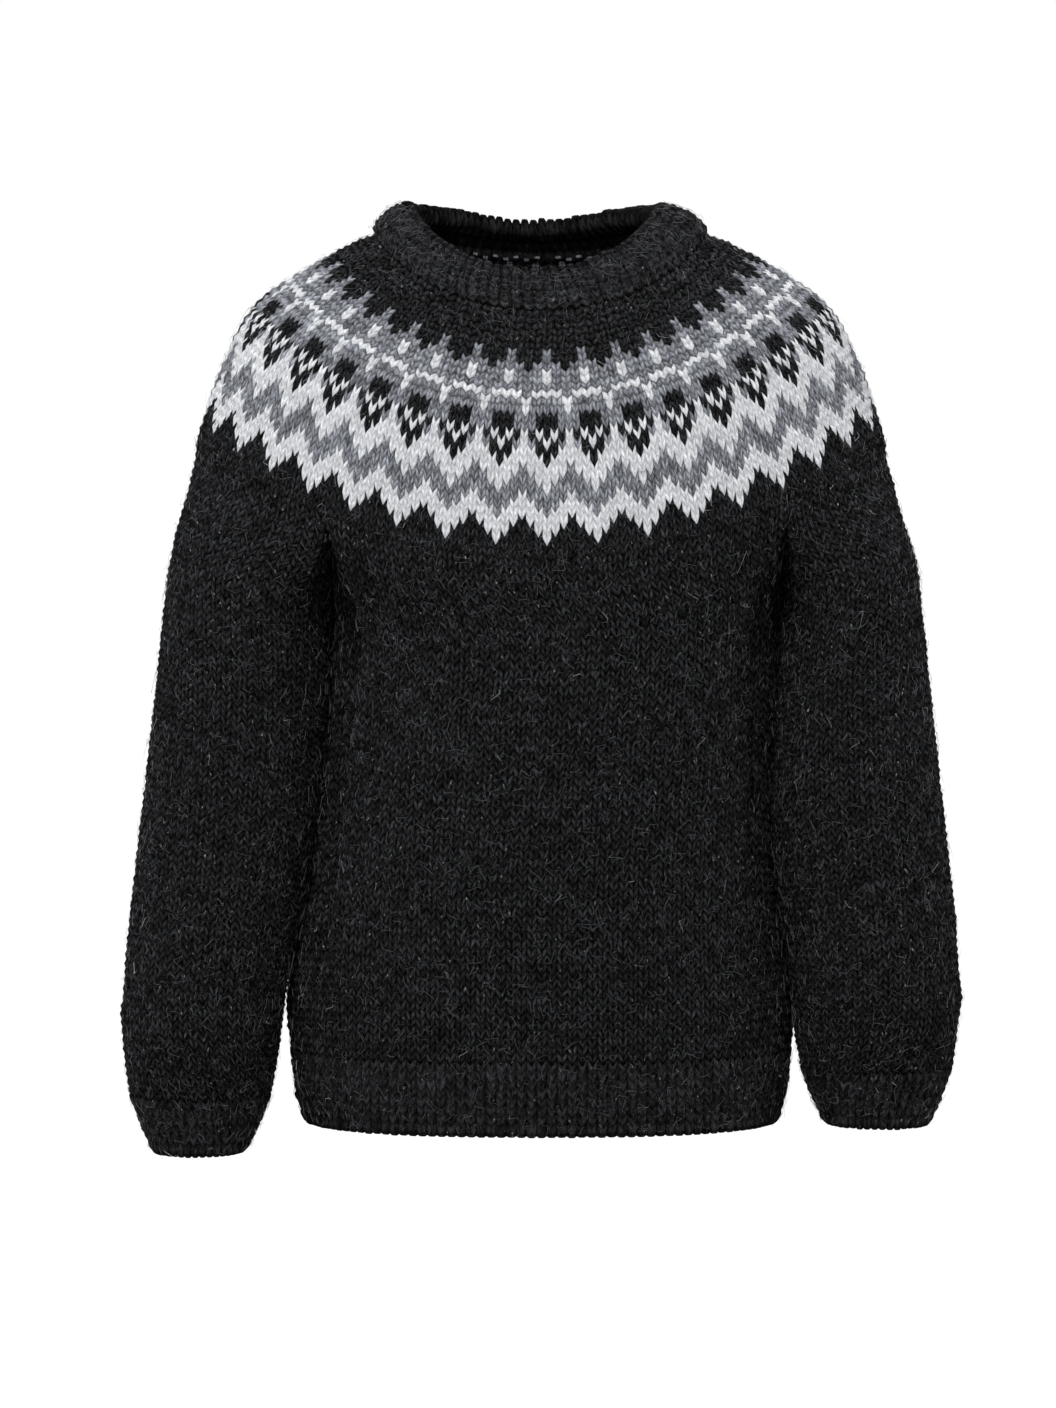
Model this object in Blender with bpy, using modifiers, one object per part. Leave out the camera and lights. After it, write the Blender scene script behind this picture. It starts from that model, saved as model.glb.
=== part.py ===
"""A round-yoked wool sweater, knitted in tubes and filled out as if worn.

Metres, +Z up, the front facing -Y. The origin is the middle of the neck opening, where the
wearer's neck and shoulders carry the garment. Every piece is a lofted open surface, the outer
face of its cloth, thickened inwards by Solidify.

A ring is an array of points round a tube. The rings of the yoke and the neckband run once round
the neck: front, the wearer's left side (+X), back, the wearer's right side. Where the yoke ends,
body and sleeves take over its points, so that the pieces meet point to point along the seam.
"""

import math
from typing import NamedTuple

import bmesh
import bpy
import numpy as np

COLLECTION = "nordic_yoke_sweater"

# Cloth
KNIT_WALL = 0.004
NECKBAND_WALL = 0.008  # the rib is folded in and sewn down, so it is double
SEAM_GAP = 0.0004
SEAM_LIP = 0.003  # both pieces of a seam run the same way for this far
UNDERARM_GAP = 0.0006
CORNER_RELIEF = 0.0025  # how far the body's corners under the arms stay below the yoke's edge

# Points round a ring, by the stretch that they cover
FRONT_STEPS = 14
SIDE_STEPS = 16
UNDERARM_STEPS = 9

# The folds between body and sleeves: at the chest the body leans towards the wearer's left
ARMHOLE_X = 0.155
LEAN = 0.011
LEAN_TOP_Z = -0.230
LEAN_DEPTH = 0.260
UNDERARM_SAG = 0.022
UNDERARM_TUCK = 0.002

# How far down the body and the sleeves the slant of the yoke's edge fades out
BODY_SLANT_DEPTH = 0.090
SLEEVE_SLANT_DEPTH = 0.190

# and how far down the outline of that edge turns into that of the tube
BODY_OUTLINE_DEPTH = 0.090
SLEEVE_OUTLINE_DEPTH = 0.080
TUCK_HEIGHT = 0.300  # the height above a sleeve's end where its tuck starts

BODY_CORNER = math.radians(52.0)
SLEEVE_CORNER = math.radians(40.0)

YOKE_SQUARENESS = 2.12
BODY_SQUARENESS = 2.5
BODY_MIDDLE_Y = 0.010
SLEEVE_SQUARENESS = 2.15


class YokeRing(NamedTuple):
    """A ring round the neck: its reach to each side, to the front and the back, and its heights."""

    half_width: float
    side_z: float
    front_reach: float
    front_z: float
    back_reach: float
    back_z: float
    dip: float  # 1 is a straight slope from side to front, 2 a round sag


class BodyRing(NamedTuple):
    """A level ring of the body."""

    z: float
    half_width: float
    front_reach: float
    back_reach: float


class SleeveRing(NamedTuple):
    """A level ring of a sleeve, by how much higher than the sleeve's end it lies."""

    height: float
    inner_x: float
    outer_x: float
    middle_y: float
    half_depth: float


NECKBAND_RINGS = (
    YokeRing(0.095, 0.0225, 0.082, -0.035, 0.078, 0.0205, 1.4),
    YokeRing(0.106, 0.014, 0.090, -0.049, 0.087, 0.007, 1.4),
    YokeRing(0.115, 0.001, 0.097, -0.064, 0.096, -0.010, 1.4),
)

YOKE_RINGS = (
    YokeRing(0.115, 0.001, 0.097, -0.064, 0.096, -0.010, 1.4),
    YokeRing(0.131, -0.006, 0.101, -0.080, 0.102, -0.024, 1.5),
    YokeRing(0.154, -0.018, 0.107, -0.101, 0.110, -0.045, 1.65),
    YokeRing(0.177, -0.032, 0.113, -0.124, 0.116, -0.067, 1.8),
    YokeRing(0.196, -0.046, 0.119, -0.143, 0.120, -0.090, 1.9),
    YokeRing(0.209, -0.063, 0.124, -0.162, 0.122, -0.111, 2.0),
    YokeRing(0.219, -0.084, 0.128, -0.183, 0.124, -0.133, 2.0),
    YokeRing(0.228, -0.107, 0.132, -0.204, 0.124, -0.156, 2.0),
    YokeRing(0.235, -0.128, 0.134, -0.220, 0.123, -0.178, 2.0),
    YokeRing(0.240, -0.147, 0.136, -0.234, 0.122, -0.200, 2.0),
)

BODY_RINGS = (
    BodyRing(-0.255, 0.1535, 0.134, 0.118),
    BodyRing(-0.295, 0.1545, 0.132, 0.116),
    BodyRing(-0.340, 0.1560, 0.130, 0.115),
    BodyRing(-0.390, 0.1580, 0.128, 0.114),
    BodyRing(-0.440, 0.1625, 0.126, 0.113),
    BodyRing(-0.490, 0.1700, 0.124, 0.113),
    BodyRing(-0.535, 0.1760, 0.122, 0.113),
    BodyRing(-0.570, 0.1740, 0.121, 0.112),
)

HEM_RINGS = (
    BodyRing(-0.570, 0.1740, 0.121, 0.112),
    BodyRing(-0.594, 0.1715, 0.120, 0.111),
    BodyRing(-0.617, 0.1660, 0.117, 0.108),
)

SLEEVE_RINGS = (
    SleeveRing(0.390, 0.1560, 0.2570, -0.010, 0.088),
    SleeveRing(0.350, 0.1560, 0.2620, -0.018, 0.080),
    SleeveRing(0.300, 0.1560, 0.2675, -0.024, 0.072),
    SleeveRing(0.250, 0.1575, 0.2730, -0.029, 0.067),
    SleeveRing(0.200, 0.1615, 0.2785, -0.034, 0.063),
    SleeveRing(0.150, 0.1700, 0.2835, -0.038, 0.061),
    SleeveRing(0.105, 0.1785, 0.2865, -0.040, 0.060),
    SleeveRing(0.078, 0.1810, 0.2865, -0.040, 0.058),
    SleeveRing(0.054, 0.1840, 0.2845, -0.040, 0.053),
    SleeveRing(0.036, 0.1880, 0.2815, -0.040, 0.048),
)

CUFF_RINGS = (
    SleeveRing(0.036, 0.1880, 0.2815, -0.040, 0.048),
    SleeveRing(0.020, 0.1945, 0.2755, -0.040, 0.044),
    SleeveRing(0.000, 0.2035, 0.2670, -0.040, 0.040),
)

SHARED_RING = YOKE_RINGS[-1]


class Arm(NamedTuple):
    """One side of the sweater: 1 is the wearer's left, towards +X, and -1 the wearer's right."""

    side: int
    sleeve_end_z: float
    tuck: float  # how much nearer the body the sleeve's lower end lies


ARMS = {
    "left": Arm(1, -0.616, 0.008),
    "right": Arm(-1, -0.635, 0.0),
}


class Finish(NamedTuple):
    """Colour, roughness and how metallic a piece is."""

    color: tuple
    roughness: float
    metallic: float


CHARCOAL_WOOL = Finish((0.022, 0.023, 0.026), 0.95, 0.0)
GREY_WOOL = Finish((0.30, 0.32, 0.36), 0.95, 0.0)


def clear_scene():
    """Remove what the startup scene holds."""
    for thing in list(bpy.data.objects):
        bpy.data.objects.remove(thing, do_unlink=True)


def smooth_step(share):
    """Ease from 0 to 1, level at both ends."""
    share = np.clip(share, 0.0, 1.0)
    return share * share * (3.0 - 2.0 * share)


def lean(z):
    """How far towards +X the body and the folds beside it lie at a height."""
    return LEAN * (1.0 - smooth_step((LEAN_TOP_Z - z) / LEAN_DEPTH))


def armhole_angle(arm):
    """The angle round the yoke, from its front, where the body ends and this arm's sleeve starts."""
    share = (ARMHOLE_X + arm.side * LEAN) / SHARED_RING.half_width
    return math.asin(share ** (YOKE_SQUARENESS / 2.0))


def yoke_angles():
    """Angles round the yoke from its front: front, +X side, back and -X side, each its own steps."""
    left = armhole_angle(ARMS["left"])
    right = armhole_angle(ARMS["right"])
    stretches = (
        (-right, left, FRONT_STEPS),
        (left, math.pi - left, SIDE_STEPS),
        (math.pi - left, math.pi + right, FRONT_STEPS),
        (math.pi + right, 2.0 * math.pi - right, SIDE_STEPS),
    )
    return np.concatenate([np.linspace(start, end, n + 1)[:-1] for start, end, n in stretches])


def squared(angles, squareness):
    """Sines and cosines of angles, bulged so that 2 gives an ellipse and more a squarer oval."""
    power = 2.0 / squareness
    sines, cosines = np.sin(angles), np.cos(angles)
    across = np.sign(sines) * np.abs(sines) ** power
    ahead = np.sign(cosines) * np.abs(cosines) ** power
    return across, ahead


def yoke_points(ring, angles):
    """Points of a ring round the neck at these angles."""
    across, ahead = squared(angles, YOKE_SQUARENESS)
    reach = np.where(ahead > 0, ring.front_reach, ring.back_reach)
    end_z = np.where(ahead > 0, ring.front_z, ring.back_z)
    share = np.abs(np.cos(angles)) ** ring.dip
    z = ring.side_z + (end_z - ring.side_z) * share
    return np.column_stack([ring.half_width * across, -reach * ahead, z])


def oval(center, half_width, front_reach, back_reach, squareness, angles):
    """Points of a level squared oval at these angles from its front."""
    across, ahead = squared(angles, squareness)
    reach = np.where(ahead > 0, front_reach, back_reach)
    x = center[0] + half_width * across
    y = center[1] - reach * ahead
    return np.column_stack([x, y, np.full(len(angles), center[2])])


def underarm(arm):
    """Points under an arm from its front corner to its back one, without the corners."""
    angle = armhole_angle(arm)
    ends = yoke_points(SHARED_RING, np.array([angle, math.pi - angle]))
    share = np.linspace(0.0, 1.0, UNDERARM_STEPS + 1)[1:-1]
    points = ends[0] + (ends[1] - ends[0]) * share[:, None]
    bow = np.sin(math.pi * share)
    points[:, 0] -= UNDERARM_TUCK * bow
    points[:, 2] -= UNDERARM_SAG * bow
    return points


def mirrored(points, side):
    """The points as they are for side 1, and across the middle plane for side -1."""
    return points * np.array([side, 1.0, 1.0])


def body_top():
    """The ring where the body meets the yoke and the two sleeves."""
    left, right = ARMS["left"], ARMS["right"]
    front_angles = np.linspace(-armhole_angle(right), armhole_angle(left), FRONT_STEPS + 1)
    front = yoke_points(SHARED_RING, front_angles)
    back = yoke_points(SHARED_RING, math.pi - front_angles[::-1])
    for stretch in (front, back):
        stretch[[0, -1], 2] -= CORNER_RELIEF
    under_left = underarm(left)
    under_right = mirrored(underarm(right), -1)[::-1]
    ring = np.concatenate([front, under_left, back, under_right])
    beside_arm = np.abs(ring[:, 0]) >= np.abs(front[[0, -1], 0]).min() - UNDERARM_TUCK
    ring[beside_arm, 0] -= np.sign(ring[beside_arm, 0]) * UNDERARM_GAP / 2
    return ring


def body_angles():
    """Angles of the body's points round its level rings, spread evenly along each stretch."""
    front = np.linspace(-BODY_CORNER, BODY_CORNER, FRONT_STEPS + 1)
    side = np.linspace(BODY_CORNER, math.pi - BODY_CORNER, UNDERARM_STEPS + 1)[1:-1]
    return np.concatenate([front, side, front + math.pi, side + math.pi])


def sleeve_top(arm):
    """The ring where a sleeve meets the yoke and the body, as on the +X side, from its front corner."""
    angle = armhole_angle(arm)
    outer = yoke_points(SHARED_RING, np.linspace(angle, math.pi - angle, SIDE_STEPS + 1))
    under = underarm(arm)[::-1]
    outer[[0, -1], 0] += UNDERARM_GAP / 2
    under[:, 0] += UNDERARM_GAP / 2
    return np.concatenate([outer, under])


def sleeve_angles():
    """Angles of a sleeve's points round its level rings, starting at its front inner corner."""
    outer = np.linspace(-SLEEVE_CORNER, math.pi + SLEEVE_CORNER, SIDE_STEPS + 1)
    inner_end = 2.0 * math.pi - SLEEVE_CORNER
    inner = np.linspace(math.pi + SLEEVE_CORNER, inner_end, UNDERARM_STEPS + 1)[1:-1]
    return np.concatenate([outer, inner])


def body_ring(ring):
    """Points of a level ring of the body."""
    center = (lean(ring.z), BODY_MIDDLE_Y, ring.z)
    reaches = (ring.half_width, ring.front_reach + BODY_MIDDLE_Y, ring.back_reach - BODY_MIDDLE_Y)
    return oval(center, *reaches, BODY_SQUARENESS, body_angles())


def sleeve_ring(ring, arm):
    """Points of a level ring of a sleeve, as on the +X side."""
    z = arm.sleeve_end_z + ring.height
    tuck = arm.tuck * (1.0 - smooth_step(ring.height / TUCK_HEIGHT))
    inner_x = ring.inner_x + arm.side * lean(z) - tuck
    center = ((inner_x + ring.outer_x) / 2, ring.middle_y, z)
    half_width = (ring.outer_x - inner_x) / 2
    depth = ring.half_depth
    return oval(center, half_width, depth, depth, SLEEVE_SQUARENESS, sleeve_angles())


def hung_from(top, rings, slant_depth, outline_depth):
    """The level rings, with the slant and the outline of the top ring fading out of them downwards."""
    result = []
    middle_z = top[:, 2].mean()
    for ring in rings:
        drop = middle_z - ring[:, 2].mean()
        slant_left = 1.0 - smooth_step(drop / slant_depth)
        outline_left = 1.0 - smooth_step(drop / outline_depth)
        points = ring.copy()
        points[:, 2] += (top[:, 2] - middle_z) * slant_left
        points[:, :2] += (top[:, :2] - ring[:, :2]) * outline_left
        result.append(points)
    return result


def seam_pair(ring, direction):
    """The last two rings of a piece before a seam: half the gap off it, and a lip further."""
    step = np.asarray(direction)
    return ring + step * (SEAM_GAP / 2), ring + step * (SEAM_GAP / 2 + SEAM_LIP)


def slope_between(above, below):
    """Unit directions down the cloth from one ring to another, point by point."""
    run = below - above
    return run / np.linalg.norm(run, axis=1)[:, None]


def material(name, finish):
    """A plain Principled material."""
    made = bpy.data.materials.new(name)
    made.use_nodes = True
    shader = made.node_tree.nodes["Principled BSDF"]
    shader.inputs["Base Color"].default_value = (*finish.color, 1.0)
    shader.inputs["Roughness"].default_value = finish.roughness
    shader.inputs["Metallic"].default_value = finish.metallic
    return made


def add_ring(bm, points):
    """Add a closed ring of points and return its edges."""
    verts = [bm.verts.new(point) for point in points]
    return [bm.edges.new((a, b)) for a, b in zip(verts, verts[1:] + verts[:1])]


def loft(name, rings, wall, finish, collection):
    """A tube of cloth through these rings, its wall inside them."""
    bm = bmesh.new()
    loops = [add_ring(bm, points) for points in rings]
    for upper, lower in zip(loops, loops[1:]):
        bmesh.ops.bridge_loops(bm, edges=upper + lower)
    bmesh.ops.recalc_face_normals(bm, faces=bm.faces)
    middle = np.mean([points.mean(axis=0) for points in rings], axis=0)
    outward = sum(
        face.normal.x * (face.calc_center_median().x - middle[0])
        + face.normal.y * (face.calc_center_median().y - middle[1])
        for face in bm.faces
    )
    if outward < 0:
        bmesh.ops.reverse_faces(bm, faces=bm.faces)
    mesh = bpy.data.meshes.new(name)
    bm.to_mesh(mesh)
    bm.free()
    mesh.shade_smooth()
    piece = bpy.data.objects.new(name, mesh)
    piece.data.materials.append(material(name, finish))
    collection.objects.link(piece)
    solidify = piece.modifiers.new("wall", "SOLIDIFY")
    solidify.thickness = wall
    solidify.offset = -1.0
    solidify.use_even_offset = True
    return piece


def neck_seam():
    """The ring between neckband and yoke, and the way down the cloth at each of its points."""
    angles = yoke_angles()
    ring = yoke_points(YOKE_RINGS[0], angles)
    above = yoke_points(NECKBAND_RINGS[-2], angles)
    below = yoke_points(YOKE_RINGS[1], angles)
    return ring, slope_between(above, below)


def build_neckband(collection):
    """The doubled rib that stands round the neck."""
    angles = yoke_angles()
    rings = [yoke_points(ring, angles) for ring in NECKBAND_RINGS[:-1]]
    ring, down = neck_seam()
    end, lip = seam_pair(ring, -down)
    loft("neckband", [*rings, lip, end], NECKBAND_WALL, CHARCOAL_WOOL, collection)


def build_yoke(collection):
    """The patterned round yoke from the neckband to the underarms."""
    angles = yoke_angles()
    rings = [yoke_points(ring, angles) for ring in YOKE_RINGS]
    ring, down = neck_seam()
    first, first_lip = seam_pair(ring, down)
    last, last_lip = seam_pair(rings[-1], (0.0, 0.0, 1.0))
    course = [first, first_lip, *rings[1:-1], last_lip, last]
    loft("yoke", course, KNIT_WALL, GREY_WOOL, collection)


def build_body(collection):
    """The body tube, from the yoke and the underarms down to its rib."""
    top = body_top()
    first, first_lip = seam_pair(top, (0.0, 0.0, -1.0))
    level = [body_ring(ring) for ring in BODY_RINGS]
    rings = hung_from(top, level, BODY_SLANT_DEPTH, BODY_OUTLINE_DEPTH)
    last, last_lip = seam_pair(rings[-1], (0.0, 0.0, 1.0))
    course = [first, first_lip, *rings[:-1], last_lip, last]
    loft("body", course, KNIT_WALL, CHARCOAL_WOOL, collection)


def build_hem(collection):
    """The rib at the foot of the body."""
    rings = [body_ring(ring) for ring in HEM_RINGS]
    first, first_lip = seam_pair(rings[0], (0.0, 0.0, -1.0))
    loft("hem_rib", [first, first_lip, *rings[1:]], KNIT_WALL, CHARCOAL_WOOL, collection)


def build_sleeve(name, arm, collection):
    """A sleeve tube, with the rib that ends it."""
    top = sleeve_top(arm)
    first, first_lip = seam_pair(top, (0.0, 0.0, -1.0))
    level = [sleeve_ring(ring, arm) for ring in SLEEVE_RINGS]
    rings = hung_from(top, level, SLEEVE_SLANT_DEPTH, SLEEVE_OUTLINE_DEPTH)
    last, last_lip = seam_pair(rings[-1], (0.0, 0.0, 1.0))
    course = [first, first_lip, *rings[:-1], last_lip, last]
    course = [mirrored(points, arm.side) for points in course]
    loft(f"sleeve_{name}", course, KNIT_WALL, CHARCOAL_WOOL, collection)

    cuff = [sleeve_ring(ring, arm) for ring in CUFF_RINGS]
    cuff_first, cuff_lip = seam_pair(cuff[0], (0.0, 0.0, -1.0))
    cuff_course = [mirrored(points, arm.side) for points in (cuff_first, cuff_lip, *cuff[1:])]
    loft(f"cuff_{name}", cuff_course, KNIT_WALL, CHARCOAL_WOOL, collection)


def main():
    """Build the sweater's eight pieces."""
    clear_scene()
    collection = bpy.data.collections.new(COLLECTION)
    bpy.context.scene.collection.children.link(collection)
    build_neckband(collection)
    build_yoke(collection)
    build_body(collection)
    build_hem(collection)
    for name, arm in ARMS.items():
        build_sleeve(name, arm, collection)


main()
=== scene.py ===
"""A round-yoked pullover, hand knitted in thick wool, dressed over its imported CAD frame.

Every piece is one closed shell of knitted cloth. A bmesh grid is closed into a tube with a wall,
and its lines follow the rows and columns of stitches, so each stitch is a small raised V.
Loose hairs of the wool lie on the shells as pieces of their own.
"""

import enum
import logging
import math
from dataclasses import dataclass
from typing import Any, Callable

import bmesh
import bpy
import numpy as np
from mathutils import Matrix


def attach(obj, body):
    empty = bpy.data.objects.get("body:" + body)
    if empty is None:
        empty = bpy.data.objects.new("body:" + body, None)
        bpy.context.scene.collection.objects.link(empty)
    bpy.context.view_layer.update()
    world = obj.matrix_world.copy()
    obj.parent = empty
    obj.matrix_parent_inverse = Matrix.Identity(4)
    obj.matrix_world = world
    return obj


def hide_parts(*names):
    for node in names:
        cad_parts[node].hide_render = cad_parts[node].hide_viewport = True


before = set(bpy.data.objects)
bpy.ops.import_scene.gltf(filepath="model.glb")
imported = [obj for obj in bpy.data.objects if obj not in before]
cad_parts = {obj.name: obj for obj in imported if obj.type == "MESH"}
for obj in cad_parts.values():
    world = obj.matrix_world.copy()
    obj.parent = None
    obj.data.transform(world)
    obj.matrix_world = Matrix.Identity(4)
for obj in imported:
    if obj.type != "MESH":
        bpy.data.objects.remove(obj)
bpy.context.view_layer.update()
LOG = logging.getLogger("sweater")
BODY = "root"
SEAM_GAP = 0.0004
FULL_TURN = 2.0 * math.pi
EVEN_TURN = np.linspace(0.0, FULL_TURN, 721)[:-1]
Form = Callable[[np.ndarray, np.ndarray], np.ndarray]


# ---------------------------------------------------------------- shape of the garment


def smooth_step(share: Any) -> Any:
    """Ease from 0 to 1, level at both ends."""
    share = np.clip(share, 0.0, 1.0)
    return share * share * (3.0 - 2.0 * share)


def squared(angles: np.ndarray, squareness: float) -> tuple[np.ndarray, np.ndarray]:
    """Bulge the sines and cosines of angles.

    Args:
        angles: Angles from the front, in radians.
        squareness: 2 gives an ellipse and more a squarer oval.

    Returns:
        How far across and how far ahead each angle lies, from -1 to 1.
    """
    power = 2.0 / squareness
    sines, cosines = np.sin(angles), np.cos(angles)
    across = np.sign(sines) * np.abs(sines) ** power
    ahead = np.sign(cosines) * np.abs(cosines) ** power
    return across, ahead


def through(places: np.ndarray, table: np.ndarray, at: np.ndarray) -> np.ndarray:
    """Read a smooth curve through a table.

    Args:
        places: Where each row of the table stands, rising.
        table: One row of sizes for each place.
        at: The places to read.

    Returns:
        One row of sizes for each place read.
    """
    slopes = np.gradient(table, places, axis=0)
    index = np.clip(np.searchsorted(places, at, side="right") - 1, 0, len(places) - 2)
    run = places[index + 1] - places[index]
    share = np.clip((at - places[index]) / run, 0.0, 1.0)[:, None]
    run = run[:, None]
    rise = smooth_step(share)
    before = share * (1.0 - share) ** 2
    after = share * share * (share - 1.0)
    middle = table[index] * (1.0 - rise) + table[index + 1] * rise
    return middle + run * (slopes[index] * before + slopes[index + 1] * after)


@dataclass(frozen=True)
class Arm:
    """One sleeve's own sizes."""

    side: int
    end_z: float
    tuck: float


@dataclass(frozen=True)
class Garment:
    """The sizes of the solids that the cloth follows, in metres."""

    # half width, side height, front reach, front height, back reach, back height, dip
    neck_rings: tuple[tuple[float, ...], ...] = (
        (0.095, 0.0225, 0.082, -0.035, 0.078, 0.0205, 1.4),
        (0.106, 0.014, 0.090, -0.049, 0.087, 0.007, 1.4),
        (0.115, 0.001, 0.097, -0.064, 0.096, -0.010, 1.4),
        (0.131, -0.006, 0.101, -0.080, 0.102, -0.024, 1.5),
        (0.154, -0.018, 0.107, -0.101, 0.110, -0.045, 1.65),
        (0.177, -0.032, 0.113, -0.124, 0.116, -0.067, 1.8),
        (0.196, -0.046, 0.119, -0.143, 0.120, -0.090, 1.9),
        (0.209, -0.063, 0.124, -0.162, 0.122, -0.111, 2.0),
        (0.219, -0.084, 0.128, -0.183, 0.124, -0.133, 2.0),
        (0.228, -0.107, 0.132, -0.204, 0.124, -0.156, 2.0),
        (0.235, -0.128, 0.134, -0.220, 0.123, -0.178, 2.0),
        (0.240, -0.147, 0.136, -0.234, 0.122, -0.200, 2.0),
    )
    neck_seam: float = 2.0
    # the neckband as it rolls, in the same sizes
    collar_rings: tuple[tuple[float, ...], ...] = (
        (0.0900, 0.0208, 0.0830, -0.0360, 0.0820, 0.0172, 1.4),
        (0.0980, 0.0184, 0.0880, -0.0425, 0.0865, 0.0125, 1.4),
        (0.1075, 0.0133, 0.0925, -0.0480, 0.0905, 0.0064, 1.4),
        (0.1130, 0.0075, 0.0960, -0.0570, 0.0945, -0.0010, 1.4),
        (0.1150, 0.0010, 0.0970, -0.0640, 0.0960, -0.0100, 1.4),
    )
    collar_rise: float = 0.0048
    collar_shift: float = -0.0045
    # height, half width, front reach, back reach
    trunk_rings: tuple[tuple[float, ...], ...] = (
        (-0.255, 0.1535, 0.134, 0.118),
        (-0.295, 0.1545, 0.132, 0.116),
        (-0.340, 0.1560, 0.130, 0.115),
        (-0.390, 0.1580, 0.128, 0.114),
        (-0.440, 0.1625, 0.126, 0.113),
        (-0.490, 0.1700, 0.124, 0.113),
        (-0.535, 0.1760, 0.122, 0.113),
        (-0.570, 0.1740, 0.121, 0.112),
        (-0.594, 0.1715, 0.120, 0.111),
        (-0.617, 0.1660, 0.117, 0.108),
    )
    hem_seam: float = -0.570
    # height above the end, inner side, outer side, middle, half depth
    sleeve_rings: tuple[tuple[float, ...], ...] = (
        (0.390, 0.1560, 0.2570, -0.010, 0.088),
        (0.350, 0.1560, 0.2620, -0.018, 0.080),
        (0.300, 0.1560, 0.2675, -0.024, 0.072),
        (0.250, 0.1575, 0.2730, -0.029, 0.067),
        (0.200, 0.1615, 0.2785, -0.034, 0.063),
        (0.150, 0.1700, 0.2835, -0.038, 0.061),
        (0.105, 0.1785, 0.2865, -0.040, 0.060),
        (0.078, 0.1810, 0.2865, -0.040, 0.058),
        (0.054, 0.1840, 0.2845, -0.040, 0.053),
        (0.036, 0.1880, 0.2815, -0.040, 0.048),
        (0.020, 0.1945, 0.2755, -0.040, 0.044),
        (0.000, 0.2035, 0.2670, -0.040, 0.040),
    )
    cuff_seam: float = 0.036
    armhole_x: float = 0.155
    shared_half_width: float = 0.240
    lean_most: float = 0.011
    lean_top_z: float = -0.230
    lean_depth: float = 0.260
    underarm_sag: float = 0.022
    underarm_tuck: float = 0.002
    tuck_height: float = 0.300
    body_corner: float = math.radians(52.0)
    sleeve_corner: float = math.radians(40.0)
    yoke_squareness: float = 2.12
    body_squareness: float = 2.5
    sleeve_squareness: float = 2.15
    body_middle_y: float = 0.010
    body_fades: tuple[float, float] = (0.090, 0.090)
    sleeve_fades: tuple[float, float] = (0.190, 0.080)
    left: Arm = Arm(1, -0.616, 0.008)
    right: Arm = Arm(-1, -0.635, 0.0)

    def lean(self, z: Any) -> Any:
        """How far towards +X the cloth lies at a height."""
        return self.lean_most * (1.0 - smooth_step((self.lean_top_z - z) / self.lean_depth))

    def armhole_angle(self, arm: Arm) -> float:
        """The angle round the yoke, from its front, where this arm's sleeve starts."""
        share = (self.armhole_x + arm.side * self.lean_most) / self.shared_half_width
        return math.asin(share ** (self.yoke_squareness / 2.0))

    def neck_points(self, places: np.ndarray, angles: np.ndarray) -> np.ndarray:
        """Points of the yoke's rings, at places counted down their table and angles from the front."""
        return self.ring_points(self.neck_rings, places, angles)

    def collar_points(self, places: np.ndarray, angles: np.ndarray) -> np.ndarray:
        """Points of the neckband, which lies to one side and stands higher at its back corners.

        Args:
            places: How far down its table, counted in rings.
            angles: Angles from the front.

        Returns:
            Points, one row of them for each place.
        """
        points = self.ring_points(self.collar_rings, places, angles)
        behind = np.clip(-np.cos(angles), 0.0, 1.0)
        rise = 4.0 * behind**2 * (1.0 - behind**2)
        share = np.clip(1.0 - places / (len(self.collar_rings) - 1.0), 0.0, 1.0)[:, None]
        points[:, :, 2] += self.collar_rise * rise * share
        points[:, :, 0] += self.collar_shift * share
        return points

    def ring_points(
        self, rings: tuple[tuple[float, ...], ...], places: np.ndarray, angles: np.ndarray
    ) -> np.ndarray:
        """Points of a table of rings.

        Args:
            rings: The table.
            places: How far down it, counted in rings.
            angles: Angles from the front.

        Returns:
            Points, one row of them for each place.
        """
        table = np.array(rings)
        sizes = through(np.arange(float(len(table))), table, places)
        width, side_z, front, front_z, back, back_z, dip = (column[:, None] for column in sizes.T)
        across, ahead = squared(angles, self.yoke_squareness)
        reach = np.where(ahead > 0, front, back)
        end_z = np.where(ahead > 0, front_z, back_z)
        z = side_z + (end_z - side_z) * np.abs(np.cos(angles)) ** dip
        return np.stack([width * across, -reach * ahead, z], axis=-1)

    def yoke_edge(self, angles: np.ndarray) -> np.ndarray:
        """Points of the yoke's lower edge, at angles from the front."""
        return self.neck_points(np.array([len(self.neck_rings) - 1.0]), angles)[0]

    def underarm(self, arm: Arm, share: np.ndarray) -> np.ndarray:
        """Points under an arm, as on the +X side.

        Args:
            arm: Which arm.
            share: Shares of the way from the front to the back.

        Returns:
            One point for each share.
        """
        angle = self.armhole_angle(arm)
        ends = self.yoke_edge(np.array([angle, math.pi - angle]))
        points = ends[0] + (ends[1] - ends[0]) * share[:, None]
        bow = np.sin(math.pi * share)
        points[:, 0] -= self.underarm_tuck * bow
        points[:, 2] -= self.underarm_sag * bow
        return points

    def body_top(self, angles: np.ndarray) -> np.ndarray:
        """The ring where the body starts.

        Args:
            angles: The angles of the body's level rings.

        Returns:
            One point for each angle.
        """
        left, right = self.armhole_angle(self.left), self.armhole_angle(self.right)
        corner = self.body_corner
        turned = np.mod(angles + corner, FULL_TURN) - corner
        far = math.pi - corner
        marks = [-corner, corner, far, math.pi + corner, FULL_TURN - corner]
        around = [-right, left, math.pi - left, math.pi + right, FULL_TURN - right]
        points = self.yoke_edge(np.interp(turned, marks, around))
        for start, arm in ((corner, self.left), (math.pi + corner, self.right)):
            share = (turned - start) / (far - corner)
            under = (share > 0.0) & (share < 1.0)
            share = share[under] if arm.side > 0 else 1.0 - share[under]
            points[under] = self.underarm(arm, share) * np.array([arm.side, 1.0, 1.0])
        return points

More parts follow.
